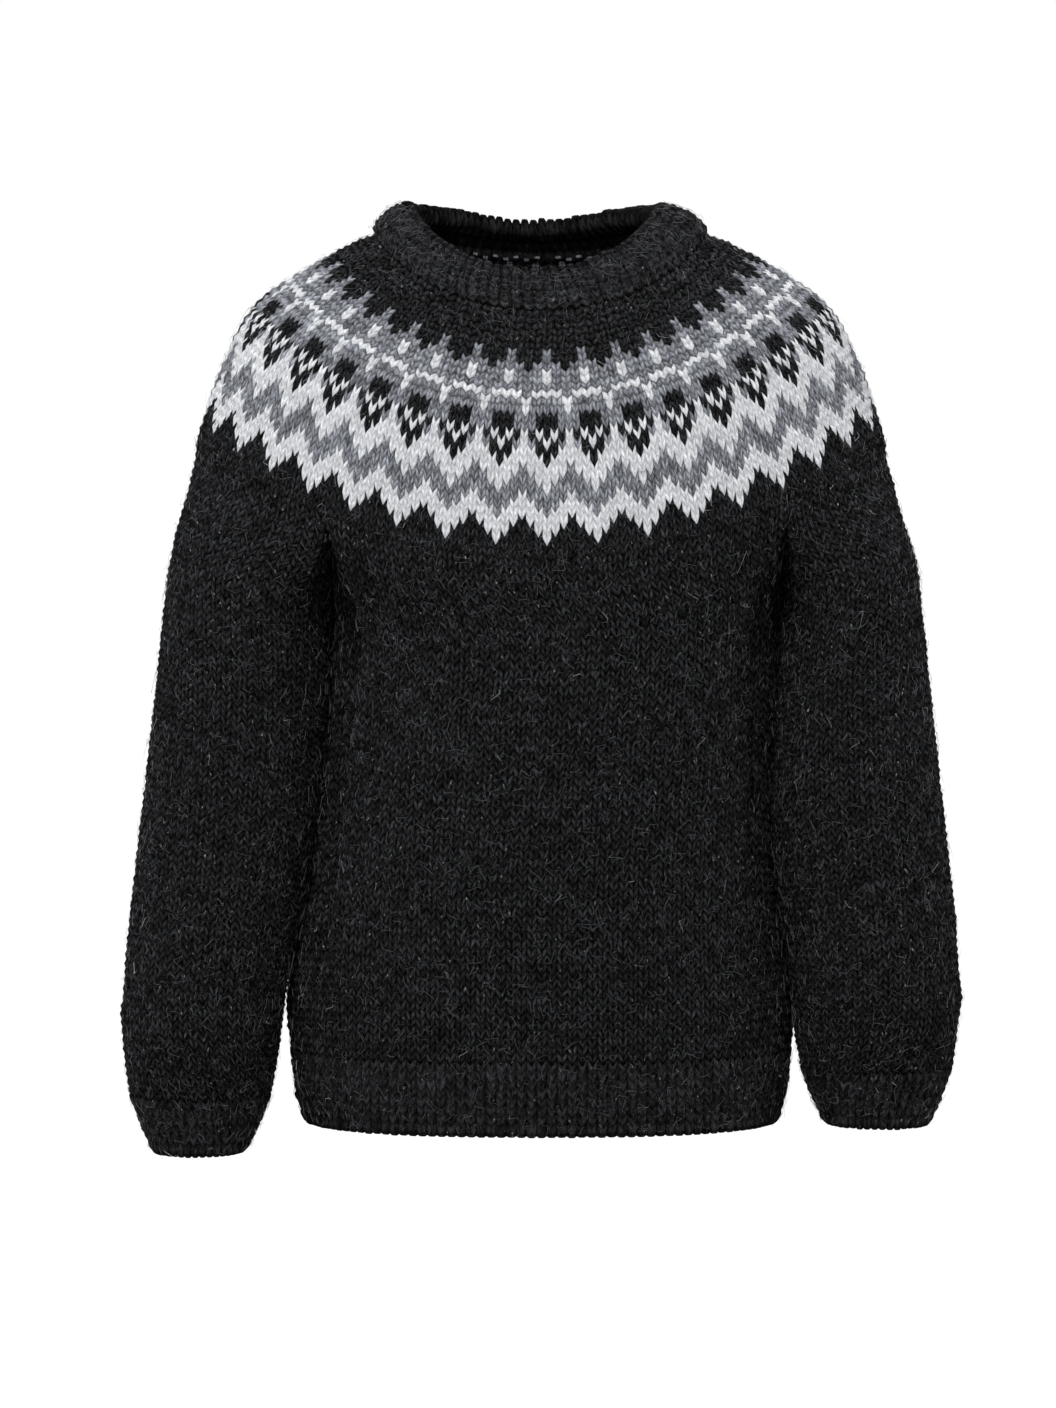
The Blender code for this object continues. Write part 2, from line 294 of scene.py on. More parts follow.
    def body_points(self, depths: np.ndarray, angles: np.ndarray) -> np.ndarray:
        """Points of the body tube.

        Args:
            depths: Shares of the way from the underarms (0) to the foot of the hem (1).
            angles: Angles from the front.

        Returns:
            Points, one row of them for each depth.
        """
        top = self.body_top(angles)
        table = np.array(self.trunk_rings)
        top_z = top[:, 2].mean()
        z = top_z + (table[-1, 0] - top_z) * depths
        sizes = through(-table[:, 0], table[:, 1:], -z)
        width, front, back = (column[:, None] for column in sizes.T)
        z = z[:, None]
        across, ahead = squared(angles, self.body_squareness)
        reach = np.where(ahead > 0, front + self.body_middle_y, back - self.body_middle_y)
        x = self.lean(z) + width * across
        y = self.body_middle_y - reach * ahead
        level = np.stack([x, y, np.broadcast_to(z, x.shape)], axis=-1)
        return hung_from(top, level, *self.body_fades)

    def hem_depth(self) -> float:
        """The share of the body tube above the hem's rib."""
        top_z = self.body_top(EVEN_TURN)[:, 2].mean()
        return (self.hem_seam - top_z) / (self.trunk_rings[-1][0] - top_z)

    def sleeve_top(self, arm: Arm, angles: np.ndarray) -> np.ndarray:
        """The ring where a sleeve starts, as on the +X side.

        Args:
            arm: Which sleeve.
            angles: Angles from the front, turning outwards.

        Returns:
            One point for each angle.
        """
        hole, corner = self.armhole_angle(arm), self.sleeve_corner
        turned = np.mod(angles + corner, FULL_TURN) - corner
        outer_end = math.pi + corner
        around = np.interp(turned, [-corner, outer_end], [hole, math.pi - hole])
        points = self.yoke_edge(around)
        share = (turned - outer_end) / (FULL_TURN - 2.0 * corner - math.pi)
        under = share > 0.0
        points[under] = self.underarm(arm, 1.0 - share[under])
        return points

    def sleeve_points(self, arm: Arm, depths: np.ndarray, angles: np.ndarray) -> np.ndarray:
        """Points of a sleeve tube, as on the +X side.

        Args:
            arm: Which sleeve.
            depths: Shares of the way from the yoke (0) to the end of the cuff (1).
            angles: Angles from the front, turning outwards.

        Returns:
            Points, one row of them for each depth.
        """
        top = self.sleeve_top(arm, angles)
        table = np.array(self.sleeve_rings)
        top_z = top[:, 2].mean()
        z = top_z + (arm.end_z - top_z) * depths
        sizes = through(-table[:, 0], table[:, 1:], arm.end_z - z)
        inner, outer, middle_y, half_depth = (column[:, None] for column in sizes.T)
        z = z[:, None]
        tuck = arm.tuck * (1.0 - smooth_step((z - arm.end_z) / self.tuck_height))
        inner = inner + arm.side * self.lean(z) - tuck
        across, ahead = squared(angles, self.sleeve_squareness)
        x = (inner + outer) / 2 + (outer - inner) / 2 * across
        y = middle_y - half_depth * ahead
        level = np.stack([x, y, np.broadcast_to(z, x.shape)], axis=-1)
        return hung_from(top, level, *self.sleeve_fades)

    def cuff_depth(self, arm: Arm) -> float:
        """The share of a sleeve tube above its cuff."""
        top_z = self.sleeve_top(arm, EVEN_TURN)[:, 2].mean()
        return (arm.end_z + self.cuff_seam - top_z) / (arm.end_z - top_z)


def hung_from(top: np.ndarray, level: np.ndarray, slant: float, outline: float) -> np.ndarray:
    """Let the slant and the outline of the top ring fade out of the level rings below it.

    Args:
        top: Points of the top ring.
        level: Rows of points of level rings.
        slant: The depth over which the slant fades.
        outline: The depth over which the outline fades.

    Returns:
        The rows of points as they hang.
    """
    middle_z = top[:, 2].mean()
    drop = middle_z - level[:, :, 2].mean(axis=1)
    slant_left = 1.0 - smooth_step(drop / slant)[:, None]
    outline_left = 1.0 - smooth_step(drop / outline)[:, None, None]
    points = level.copy()
    points[:, :, 2] += (top[:, 2] - middle_z) * slant_left
    points[:, :, :2] += (top[:, :2] - level[:, :, :2]) * outline_left
    return points


# ---------------------------------------------------------------- knitting


class Yarn(enum.Enum):
    """The wool's undyed colours, as linear RGB."""

    CHARCOAL = (0.0190, 0.0195, 0.0206)
    GREY = (0.222, 0.232, 0.258)
    LIGHT = (0.60, 0.612, 0.635)


YARN_ORDER = (Yarn.CHARCOAL, Yarn.GREY, Yarn.LIGHT)
DARK, MID, PALE = range(3)
YARN_SPREAD = (0.20, 0.11, 0.045)  # how much the stitches of each yarn differ in tone
FORM_LEVELS = 201
FORM_ANGLES = 1441
SPARE_ROWS = 2.5  # how far the form runs on past a seam
TUCK_LINES = (0.6, 1.2)  # rows past a seam, where the cloth goes in under its neighbour
LIP_ROWS = 0.8  # how far past the seam the inner wall runs
WALL_EASE = 0.0002
STITCH_SPREAD = 0.14  # how much stitches differ in height
ROW_WOBBLE = 0.13  # in rows
SWAY = 0.0004
FOLD_TAPER = 0.35  # the share of its length that each end of a fold fades over
FLOATS_ROUND = 88
FLOATS_SHOWN = 0.72
DARK_HAIRS = 0.45  # the share of the loose hairs on dark yarn that are dark
PALE_FROM = 0.992  # the chance above which one is pale


@dataclass(frozen=True)
class Fold:
    """A soft trough or ridge in the cloth.

    Places are shares: round the tube from its centre back, and up the piece.
    """

    start: tuple[float, float]
    end: tuple[float, float]
    width: float
    height: float

    def mirrored(self) -> "Fold":
        """The same fold on the other side."""
        start, end = ((1.0 - place[0], place[1]) for place in (self.start, self.end))
        return Fold(start, end, self.width, self.height)


@dataclass(frozen=True)
class Relief:
    """How a stitch stands out of the cloth, in metres."""

    height: float
    base: float
    middle: float
    row_groove: float
    lean: float
    ribbed: bool = False


@dataclass(frozen=True)
class Band:
    """Rows of the same number of stitches."""

    rows: int
    stitches: int


@dataclass(frozen=True)
class Knitting:
    """The gauge of one piece.

    Bands run from the bottom up. Row places are shares of the piece's height at row numbers, and row
    leans say how far the stitches lean there. The lean fades over some rows at a free edge, and runs
    on across a seam. The inner wall leaves the lap rows to the piece below, the tuck rows go in under
    the piece above, and floats is the inner line where the other yarn first shows.
    """

    columns: int
    bands: tuple[Band, ...]
    relief: Relief
    wall: float
    row_places: tuple[tuple[float, float], ...] = ()
    row_leans: tuple[tuple[float, float], ...] = ()
    inner_lines: int = 10
    inner_crowding: float = 1.0
    inner_relief: float = 0.0004
    rim_wall: float = 0.0
    rim_lines: int = 2
    open_top: bool = False
    open_bottom: bool = False
    fades: tuple[float, float] = (0.0, 0.0)
    lap_rows: float = 0.0
    tuck_rows: float = 0.0
    tuck_depth: float = 0.0016
    floats: int = 0
    folds: tuple[Fold, ...] = ()
    seed: int = 1

    @property
    def rows(self) -> int:
        """How many rows there are in all."""
        return sum(band.rows for band in self.bands)

    def stitches_in(self, row: int) -> int:
        """Count the stitches round a row.

        Args:
            row: The row's number.

        Returns:
            How many there are.
        """
        row = min(max(row, 0), self.rows - 1)
        for band in self.bands:
            if row < band.rows:
                return band.stitches
            row -= band.rows
        return self.bands[-1].stitches

    def share_up(self, rows: np.ndarray) -> np.ndarray:
        """Find the height of rows.

        Args:
            rows: Row numbers, which may run past the last row.

        Returns:
            Shares of the piece's height.
        """
        if not self.row_places:
            return rows / self.rows
        numbers, shares = zip(*self.row_places)
        return np.interp(rows, numbers, shares) + np.maximum(rows - self.rows, 0.0) / self.rows


def wave_noise(seed: int, around: np.ndarray, up: np.ndarray, fine: int) -> np.ndarray:
    """Smooth, seeded unevenness that closes round a tube.

    Args:
        seed: Which unevenness.
        around: Shares of the way round.
        up: Shares of the way up.
        fine: The most waves round.

    Returns:
        Heights of about -1 to 1.
    """
    rng = np.random.default_rng(seed)
    total = np.zeros(np.broadcast(around, up).shape)
    for _ in range(14):
        turns = int(rng.integers(1, fine))
        rises = rng.uniform(-0.8, 0.8) * fine * 0.6
        phase = rng.uniform(0.0, FULL_TURN)
        total += np.sin(FULL_TURN * (turns * around + rises * up) + phase) * rng.uniform(0.3, 1.0)
    return total / 3.2


class Cloth:
    """One closed shell of knitted cloth, built line by line over a piece's form."""

    def __init__(
        self, name: str, form: Form, knitting: Knitting,
        pitch: Callable[[float, int], np.ndarray], chart: Callable[[int, np.ndarray], np.ndarray],
    ) -> None:
        """Lay the cloth out.

        Args:
            name: The piece's name.
            form: Gives points at shares up the piece and angles from its start.
            knitting: The gauge.
            pitch: Gives the places of the columns round a ring of some length.
            chart: Gives the yarn of stitches in a row.
        """
        self.name = name
        self.knit = knitting
        self.chart = chart
        self.pitch = pitch
        self.rng = np.random.default_rng(knitting.seed)
        self.around = np.arange(knitting.columns) / knitting.columns
        self.beyond = 0.0 if knitting.fades[1] else SPARE_ROWS / knitting.rows
        self.dense = self.spread(form)
        self.skin, self.skin_out, self.line_rows = self.outer()

    def spread(self, form: Form) -> np.ndarray:
        """Spread the form's points into the cloth's columns.

        Args:
            form: Gives points at shares up the piece and angles from its start.

        Returns:
            A fine grid of points, one row of them for each level.
        """
        angles = np.linspace(0.0, FULL_TURN, FORM_ANGLES)
        levels = form(np.linspace(0.0, 1.0 + self.beyond, FORM_LEVELS), angles)
        grid = np.empty((len(levels), self.knit.columns, 3))
        for row, ring in enumerate(levels):
            steps = np.linalg.norm(np.diff(ring, axis=0), axis=1)
            run = np.concatenate([[0.0], np.cumsum(steps)])
            places = self.pitch(run[-1], self.knit.columns)
            for axis in range(3):
                grid[row, :, axis] = np.interp(np.mod(places, run[-1]), run, ring[:, axis])
        return grid

    def at_heights(self, heights: np.ndarray) -> np.ndarray:
        """Find points of the form.

        Args:
            heights: Lines of shares of the way up, with one for each column.

        Returns:
            Lines of points.
        """
        steps = np.linalg.norm(np.diff(self.dense, axis=0), axis=2)
        run = np.concatenate([np.zeros((1, self.knit.columns)), np.cumsum(steps, axis=0)])
        gap = SEAM_GAP / 2
        top = (len(run) - 1) / (1.0 + self.beyond)
        points = np.empty((*heights.shape, 3))
        for column in range(self.knit.columns):
            length = np.interp(top, np.arange(len(run)), run[:, column])
            places = gap + heights[:, column] * (length - 2 * gap)
            for axis in range(3):
                points[:, column, axis] = np.interp(places, run[:, column], self.dense[:, column, axis])
        return points

    def across(self, row: int) -> np.ndarray:
        """Where each mesh column lies across its stitch, from 0 to 1, in a row."""
        per_stitch = self.knit.columns // self.knit.stitches_in(row)
        return np.mod(np.arange(self.knit.columns) / per_stitch + 0.5, 1.0)

    def stitch_of(self, row: int) -> np.ndarray:
        """Find the stitch at the middle of each column's face.

        Args:
            row: The row's number.

        Returns:
            The number of that stitch, for each column.
        """
        stitches = self.knit.stitches_in(row)
        per_stitch = self.knit.columns // stitches
        return np.floor((np.arange(self.knit.columns) + 0.5) / per_stitch + 0.5).astype(int) % stitches

    def stitch_lines(self, lines: np.ndarray) -> tuple[np.ndarray, np.ndarray]:
        """Work out how the stitches lean and stand out.

        Args:
            lines: The row number of each line, with two lines to a row.

        Returns:
            The row number that each point is drawn to, and how far it stands out, as a share.
        """
        knit, relief = self.knit, self.knit.relief
        bottom_fade, top_fade = knit.fades
        numbers = np.empty((len(lines), knit.columns))
        bumps = np.empty_like(numbers)
        strengths = {}
        for index, line in enumerate(lines):
            row = min(int(line), knit.rows - 1)
            rows = (row, row) if line != row else (row - 1, row)
            edges = np.mean([np.abs(2.0 * self.across(r) - 1.0) for r in rows], axis=0)
            fade = 1.0
            if bottom_fade:
                fade *= smooth_step(line / bottom_fade)
            if top_fade:
                fade *= smooth_step((knit.rows - line) / top_fade)
            lean = np.interp(line, *zip(*knit.row_leans)) if knit.row_leans else relief.lean
            numbers[index] = line + lean * edges * fade
            legs = np.sin(math.pi * np.clip(edges, 0.0, 1.0)) ** 0.8
            legs = np.maximum(legs, relief.middle * np.clip(1.0 - 2.0 * edges, 0.0, 1.0))
            if relief.ribbed:
                legs = np.maximum(legs, 0.9 * (1.0 - edges**2.5))
            depth = 1.0 if line != row else 1.0 - relief.row_groove
            for r in rows:
                if r not in strengths:
                    strengths[r] = self.rng.normal(1.0, STITCH_SPREAD, knit.stitches_in(r))
            own = np.mean([strengths[r][self.stitch_of(r)] for r in rows], axis=0)
            bumps[index] = legs * depth * np.clip(own, 0.6, 1.4)
        return numbers, bumps

    def outer(self) -> tuple[np.ndarray, np.ndarray, np.ndarray]:
        """Work out the outside of the cloth.

        Returns:
            Its points from the bottom line up, the directions out of it, and each line's row number.
        """
        knit, relief = self.knit, self.knit.relief
        lines = np.arange(2 * knit.rows + 1) / 2.0
        if knit.tuck_rows:
            lines = np.concatenate([lines, knit.rows + np.array(TUCK_LINES)])
        numbers, bumps = self.stitch_lines(lines)
        wobble = wave_noise(knit.seed + 7, self.around[None, :], (lines / knit.rows)[:, None], 40)
        rise = smooth_step(lines / 3.0) * smooth_step((knit.rows - lines) / 3.0)
        numbers += ROW_WOBBLE * wobble * rise[:, None]
        heights = knit.share_up(np.clip(numbers, 0.0, knit.rows * (1.0 + self.beyond)))
        points = self.at_heights(heights)
        out = directions(points)
        sway = SWAY * wave_noise(knit.seed, self.around[None, :], heights, 24)
        sway = sway + self.folded(points, heights)
        lift = relief.base + relief.height * bumps + sway * rise[:, None]
        if knit.tuck_rows:
            under = smooth_step((numbers - knit.rows) / knit.tuck_rows)
            lift = lift * (1.0 - under) - knit.tuck_depth * under
        return points + out * lift[..., None], out, lines

    def folded(self, points: np.ndarray, heights: np.ndarray) -> np.ndarray:
        """Lift the cloth in its folds.

        Args:
            points: Lines of points on the form.
            heights: How far up the piece each of them is, as a share.

        Returns:
            How far out of the form each point goes.
        """
        lift = np.zeros(heights.shape)
        girth = np.linalg.norm(np.diff(points[len(points) // 2], axis=0), axis=1).sum()
        length = np.linalg.norm(np.diff(points[:, 0], axis=0), axis=1).sum()
        for fold in self.knit.folds:
            start = np.array([fold.start[0] * girth, fold.start[1] * length])
            way = np.array([fold.end[0] * girth, fold.end[1] * length]) - start
            along_length = np.hypot(*way)
            away_x = (np.mod(self.around[None, :] - fold.start[0] + 0.5, 1.0) - 0.5) * girth
            away_y = heights * length - start[1]
            along = (away_x * way[0] + away_y * way[1]) / along_length**2
            off = (away_x * way[1] - away_y * way[0]) / along_length
            bend = 0.25 * fold.width * np.sin(3.0 * along + 9.0 * fold.start[0])
            ends = smooth_step(along / FOLD_TAPER) * smooth_step((1.0 - along) / FOLD_TAPER)
            lift += fold.height * ends * np.exp(-(((off + bend) / fold.width) ** 2))
        return lift

    def loop_lines(self) -> np.ndarray:
        """Close the cloth's section with rims and an inner wall.

        Returns:
            Lines round the section, from the outside's bottom line round to it again.
        """
        knit, points, out = self.knit, self.skin, self.skin_out
        low = knit.lap_rows / knit.rows
        high = 1.0 + (LIP_ROWS / knit.rows if knit.tuck_rows else 0.0)
        picks = high - (high - low) * np.linspace(1.0, 0.0, knit.inner_lines) ** knit.inner_crowding
        heights = np.repeat(picks[:, None], knit.columns, 1)
        base = self.at_heights(heights)
        wale = np.cos(FULL_TURN * self.across(0)) * knit.inner_relief
        course = 1.0 - 0.35 * (np.arange(knit.inner_lines) % 2)
        depth = knit.wall - WALL_EASE + wale[None, :] * course[:, None]
        if knit.rim_wall:
            depth = depth + (knit.rim_wall - knit.wall) * smooth_step((picks - 0.35) / 0.65)[:, None]
        depth = depth - self.folded(base, heights)
        inner = base - directions(base) * depth[..., None]
        upper = self.rim(points[-1], inner[-1], out[-1], points[-1] - points[-3], knit.open_top)
        lower = self.rim(inner[0], points[0], out[0], points[0] - points[2], knit.open_bottom)
        return np.concatenate([points, upper, inner[::-1], lower, points[:1]])

    def rim(
        self, start: np.ndarray, end: np.ndarray, out: np.ndarray, beyond: np.ndarray, rounded: bool
    ) -> np.ndarray:
        """Lay lines round the edge of the wall, from one side of it to the other.

        Args:
            start: Points of the line before the rim.
            end: Points of the line after it.
            out: Directions out of the cloth.
            beyond: Directions past the edge.
            rounded: Whether the edge rolls, as a free edge does.

        Returns:
            The rim's lines.
        """
        past = beyond - out * np.sum(beyond * out, axis=1)[:, None]
        past = past / np.maximum(np.linalg.norm(past, axis=1), 1e-9)[:, None]
        bulge = np.linalg.norm(start - end, axis=1)[:, None] * (0.5 if rounded else 0.0)
        if self.knit.relief.ribbed:
            bulge = bulge * (1.0 - 0.16 * np.cos(FULL_TURN * self.across(0)))[:, None]
        turns = np.linspace(0.0, math.pi, self.knit.rim_lines + 2)[1:-1]
        middle, half = (start + end) / 2, (start - end) / 2
        return np.array([middle + half * math.cos(t) + past * bulge * math.sin(t) for t in turns])

    def mesh(self, material: bpy.types.Material) -> bpy.types.Object:
        """Build the shell.

        Args:
            material: What it is dressed in.

        Returns:
            The piece, with its stitches in a UV map and its yarn colours in attributes.
        """
        lines = self.loop_lines()
        closed = np.concatenate([lines, lines[:, :1]], axis=1)
        along = len(lines) - 1
        bm = bmesh.new()
        bmesh.ops.create_grid(bm, x_segments=self.knit.columns, y_segments=along, size=1.0)
        data = bpy.data.meshes.new(self.name)
        bm.to_mesh(data)
        bm.free()
        data.vertices.foreach_set("co", closed.astype(np.float32).ravel())
        colours, inside, places = self.corners(along)
        layer = data.attributes.new("yarn", "FLOAT_COLOR", "CORNER")
        layer.data.foreach_set("color", colours.astype(np.float32).ravel())
        layer = data.attributes.new("inside", "FLOAT", "CORNER")
        layer.data.foreach_set("value", inside.astype(np.float32).ravel())
        grid = data.uv_layers.new(name="stitches")
        grid.data.foreach_set("uv", places.astype(np.float32).ravel())
        joined = bmesh.new()
        joined.from_mesh(data)
        bmesh.ops.remove_doubles(joined, verts=joined.verts, dist=1e-7)
        joined.to_mesh(data)
        joined.free()
        data.shade_smooth()
        data.materials.append(material)
        piece = bpy.data.objects.new(self.name, data)
        bpy.context.scene.collection.objects.link(piece)
        return piece

    def corners(self, along: int) -> tuple[np.ndarray, np.ndarray, np.ndarray]:
        """Give each corner of each face its colour and its place in the stitches.

        Args:
            along: How many faces there are round the section.

        Returns:
            Colours, marks of the inside, and places in stitches and rows.
        """
        knit, rows, across = self.knit, self.line_rows, self.knit.columns
        colours = np.ones((along, across, 4, 4))
        inside = np.zeros((along, across, 4))
        places = np.empty((along, across, 4, 2))
        last = len(self.skin) - 1
        tones = {}
        for line in range(along):
            float_line = line - last - knit.rim_lines - 1 - knit.floats
            if line < last:
                low, high = rows[line], rows[line + 1]
            else:
                low = knit.rows * (1.0 - (line - last) / (along - last))
                high = knit.rows * (1.0 - (line + 1 - last) / (along - last))
                inside[line] = 1.0 if last + 1 < line < along - 2 else 0.0
            row = int(min(max(min(low, high), 0), knit.rows - 1))
            if row not in tones:
                tones[row] = self.tone(row)
            colours[line, :, :, :3] = tones[row][self.stitch_of(row)][:, None, :]
            if knit.floats and float_line in (0, 1):
                dashes = self.dashes(float_line)
                colours[line, dashes, :, :3] = Yarn.GREY.value
                inside[line, dashes] = 0.0
            per_stitch = across // knit.stitches_in(row)
            left = np.arange(across) / per_stitch + 0.5
            right = (np.arange(across) + 1) / per_stitch + 0.5
            places[line, :, :, 0] = np.stack([left, right, right, left], axis=1)
            places[line, :, :, 1] = np.array([low, low, high, high])
        return colours, inside, places

    def dashes(self, line: int) -> np.ndarray:
        """Pick the columns where the other yarn shows, as it floats behind the stitches.

        Args:
            line: 0 or 1, as the dashes of one line stand between those of the other.

        Returns:
            Whether it shows, for each column.
        """
        step = self.knit.columns // FLOATS_ROUND
        turn = np.arange(self.knit.columns) + line * step
        shown = self.rng.random(self.knit.columns // (2 * step) + 1) < FLOATS_SHOWN
        return shown[turn // (2 * step)] & (turn % (2 * step) < step // 2)

    def tone(self, row: int) -> np.ndarray:
        """Colour the stitches of a row, each a little lighter or darker than its yarn.

        Args:
            row: The row's number.

        Returns:
            The colour of each stitch.
        """
        count = self.knit.stitches_in(row)
        yarns = self.chart(row, np.arange(count))
        table = np.array([yarn.value for yarn in YARN_ORDER])
        spread = np.array(YARN_SPREAD)[yarns]
        return table[yarns] * np.exp(self.rng.normal(0.0, 1.0, count) * spread)[:, None]


def directions(points: np.ndarray) -> np.ndarray:
    """Find the directions out of a tube.

    Args:
        points: A closed grid of points that runs upwards.

    Returns:
        A unit direction for each point.
    """
    around = np.roll(points, -1, axis=1) - np.roll(points, 1, axis=1)
    up = np.gradient(points, axis=0)
    out = np.cross(around, up)
    return out / np.maximum(np.linalg.norm(out, axis=2), 1e-12)[..., None]


# ---------------------------------------------------------------- loose hairs


def hair_shades(cloth: Cloth, line: np.ndarray, column: np.ndarray) -> np.ndarray:
    """Choose shades for loose hairs, which take after the yarn that they grow on.

    Args:
        cloth: The cloth.
        line: The line that each hair is rooted at.
        column: Its column.

    Returns:
        The number of each hair's shade.
    """
    rng = np.random.default_rng(cloth.knit.seed + 90)
    chance = rng.uniform(0.0, 1.0, len(line))
    kinds = np.where(chance < DARK_HAIRS, 0, 1)
    kinds = np.where(chance > PALE_FROM, 2, kinds)
    rows = (line // 2).clip(0, cloth.knit.rows - 1)
    for row in np.unique(rows):
        here = rows == row
        yarn = cloth.chart(int(row), cloth.stitch_of(int(row))[column[here]])
        kinds[here] = np.where(yarn == DARK, kinds[here], np.where(yarn == MID, 1, 2))
    return kinds


@dataclass(frozen=True)
class Hairs:
    """The loose hairs that stand out of the wool."""

    count: int
    shortest: float = 0.0045
    longest: float = 0.0125
    radius: float = 0.00012
    rise: float = 0.30
    curl: float = 0.34
    sink: float = 0.0003
    stops: tuple[float, ...] = (-1.0, -0.5, 0.5, 1.0)
    seed: int = 5

    def template(self) -> bpy.types.Mesh:
        """Make one hair.

        Returns:
            A spindle of three sides and three segments, along Z from -1 to 1.
        """
        bm = bmesh.new()
        bmesh.ops.create_uvsphere(bm, u_segments=3, v_segments=3, radius=1.0)
        data = bpy.data.meshes.new("hair")
        bm.to_mesh(data)
        bm.free()
        return data

    def repeated(self, name: str) -> bpy.types.Mesh:
        """Repeat the spindle.

        Args:
            name: The mesh's name.

        Returns:
            One mesh that holds the spindle once for each hair.
        """
        holder = bpy.data.objects.new(name, self.template())
        bpy.context.scene.collection.objects.link(holder)
        array = holder.modifiers.new("each", "ARRAY")
        array.count = self.count
        array.use_relative_offset = False
        array.use_constant_offset = True
        array.constant_offset_displace = (3.0, 0.0, 0.0)
        graph = bpy.context.evaluated_depsgraph_get()
        data = bpy.data.meshes.new_from_object(holder.evaluated_get(graph))
        data.name = name
        base = holder.data
        bpy.data.objects.remove(holder)
        bpy.data.meshes.remove(base)
        return data

    def paths(
        self, root: np.ndarray, out: np.ndarray, rng: np.random.Generator
    ) -> tuple[np.ndarray, np.ndarray]:
        """Lay the hairs out along curls.

        Args:
            root: The middle of each hair.
            out: The direction out of the cloth there.
            rng: Draws what differs from hair to hair.

        Returns:
            The points of each hair at the spindle's stops, and a direction across it.
        """
        side = np.cross(out, rng.normal(size=(self.count, 3)))
        side /= np.maximum(np.linalg.norm(side, axis=1), 1e-9)[:, None]
        bend = np.cross(out, side)
        length = rng.uniform(0.0, 1.0, self.count) ** 1.6
        length = (self.shortest + (self.longest - self.shortest) * length)[:, None]
        lift = (self.rise * rng.uniform(0.0, 1.0, self.count) ** 1.5 + 0.05)[:, None]
        curl = rng.normal(0.0, self.curl, (self.count, 2))[..., None]
        path = np.empty((len(self.stops), self.count, 3))
        for index, stop in enumerate(self.stops):
            share = (stop + 1.0) / 2.0
            arch = math.sin(math.pi * share)
            place = root + side * length * (share - 0.5) + bend * length * arch * curl[:, 0]
            place = place + bend * length * math.sin(FULL_TURN * share) * curl[:, 1] * 0.7
            path[index] = place + out * (length * lift * (0.25 * arch + share * 0.8) - self.sink)
        return path, bend

    def grow(self, name: str, cloth: Cloth, materials: list[bpy.types.Material]) -> bpy.types.Object:
        """Scatter the hairs over a piece.

        Args:
            name: The new piece's name.
            cloth: The cloth that they grow on.
            materials: The shades, from dark to pale.

        Returns:
            The piece.
        """
        rng = np.random.default_rng(self.seed + cloth.knit.seed)
        data = self.repeated(name)
        along, across = cloth.skin.shape[:2]
        line = rng.integers(1, along - 1, self.count)
        column = rng.integers(0, across, self.count)
        out = cloth.skin_out[line, column]
        path, bend = self.paths(cloth.skin[line, column], out, rng)
        spindle = self.template()
        corners = [tuple(vertex.co) for vertex in spindle.vertices]
        bpy.data.meshes.remove(spindle)
        points = np.empty((self.count, len(corners), 3))
        for index, (x, y, z) in enumerate(corners):
            stop = int(np.argmin(np.abs(np.array(self.stops) - z)))
            points[:, index] = path[stop] + (bend * x + out * y) * self.radius
        data.vertices.foreach_set("co", points.astype(np.float32).ravel())
        for material in materials:
            data.materials.append(material)
        faces = len(data.polygons) // self.count
        kinds = np.repeat(hair_shades(cloth, line, column), faces).astype(np.int32)
        data.polygons.foreach_set("material_index", kinds)
        data.update()
        piece = bpy.data.objects.new(name, data)
        bpy.context.scene.collection.objects.link(piece)
        return piece


# ---------------------------------------------------------------- finishes


class Wire:
    """A socket of numbers that Python's operators work on."""

    def __init__(self, nodes: "Nodes", socket: Any) -> None:
        """Wrap a socket."""
        self.nodes = nodes
        self.socket = socket

    def math(self, operation: str, *others: Any) -> "Wire":
        """Feed this and the others to a Math node."""
        values = dict(enumerate((self, *others)))
        return self.nodes.add("ShaderNodeMath", {"operation": operation}, values)

    def __add__(self, other: Any) -> "Wire":
        """Add."""
        return self.math("ADD", other)

    __radd__ = __add__

    def __mul__(self, other: Any) -> "Wire":
        """Multiply."""
        return self.math("MULTIPLY", other)

    __rmul__ = __mul__

    def __sub__(self, other: Any) -> "Wire":
        """Subtract."""
        return self.math("SUBTRACT", other)

    def __rsub__(self, other: Any) -> "Wire":
        """Subtract this from a number."""
        return self.math("MULTIPLY", -1.0).math("ADD", other)

    def __pow__(self, other: Any) -> "Wire":
        """Raise to a power."""
        return self.math("POWER", other)

    def __abs__(self) -> "Wire":
        """Drop the sign."""
        return self.math("ABSOLUTE")

    def step(self, low: float, high: float) -> "Wire":
        """Ease from 0 at low to 1 at high."""
        values = {0: self, 1: low, 2: high, 3: 0.0, 4: 1.0}
        return self.nodes.add("ShaderNodeMapRange", {"interpolation_type": "SMOOTHSTEP"}, values)

    def arch(self, power: float) -> "Wire":
        """Rise from 0 and fall to it again, as this goes from 0 to 1."""
        return (self * math.pi).math("SINE").math("MAXIMUM", 0.0) ** power

    def vein(self, width: float) -> "Wire":
        """Draw a thin line where this crosses one half."""
        return 1.0 - abs(self - 0.5).step(0.002, width)


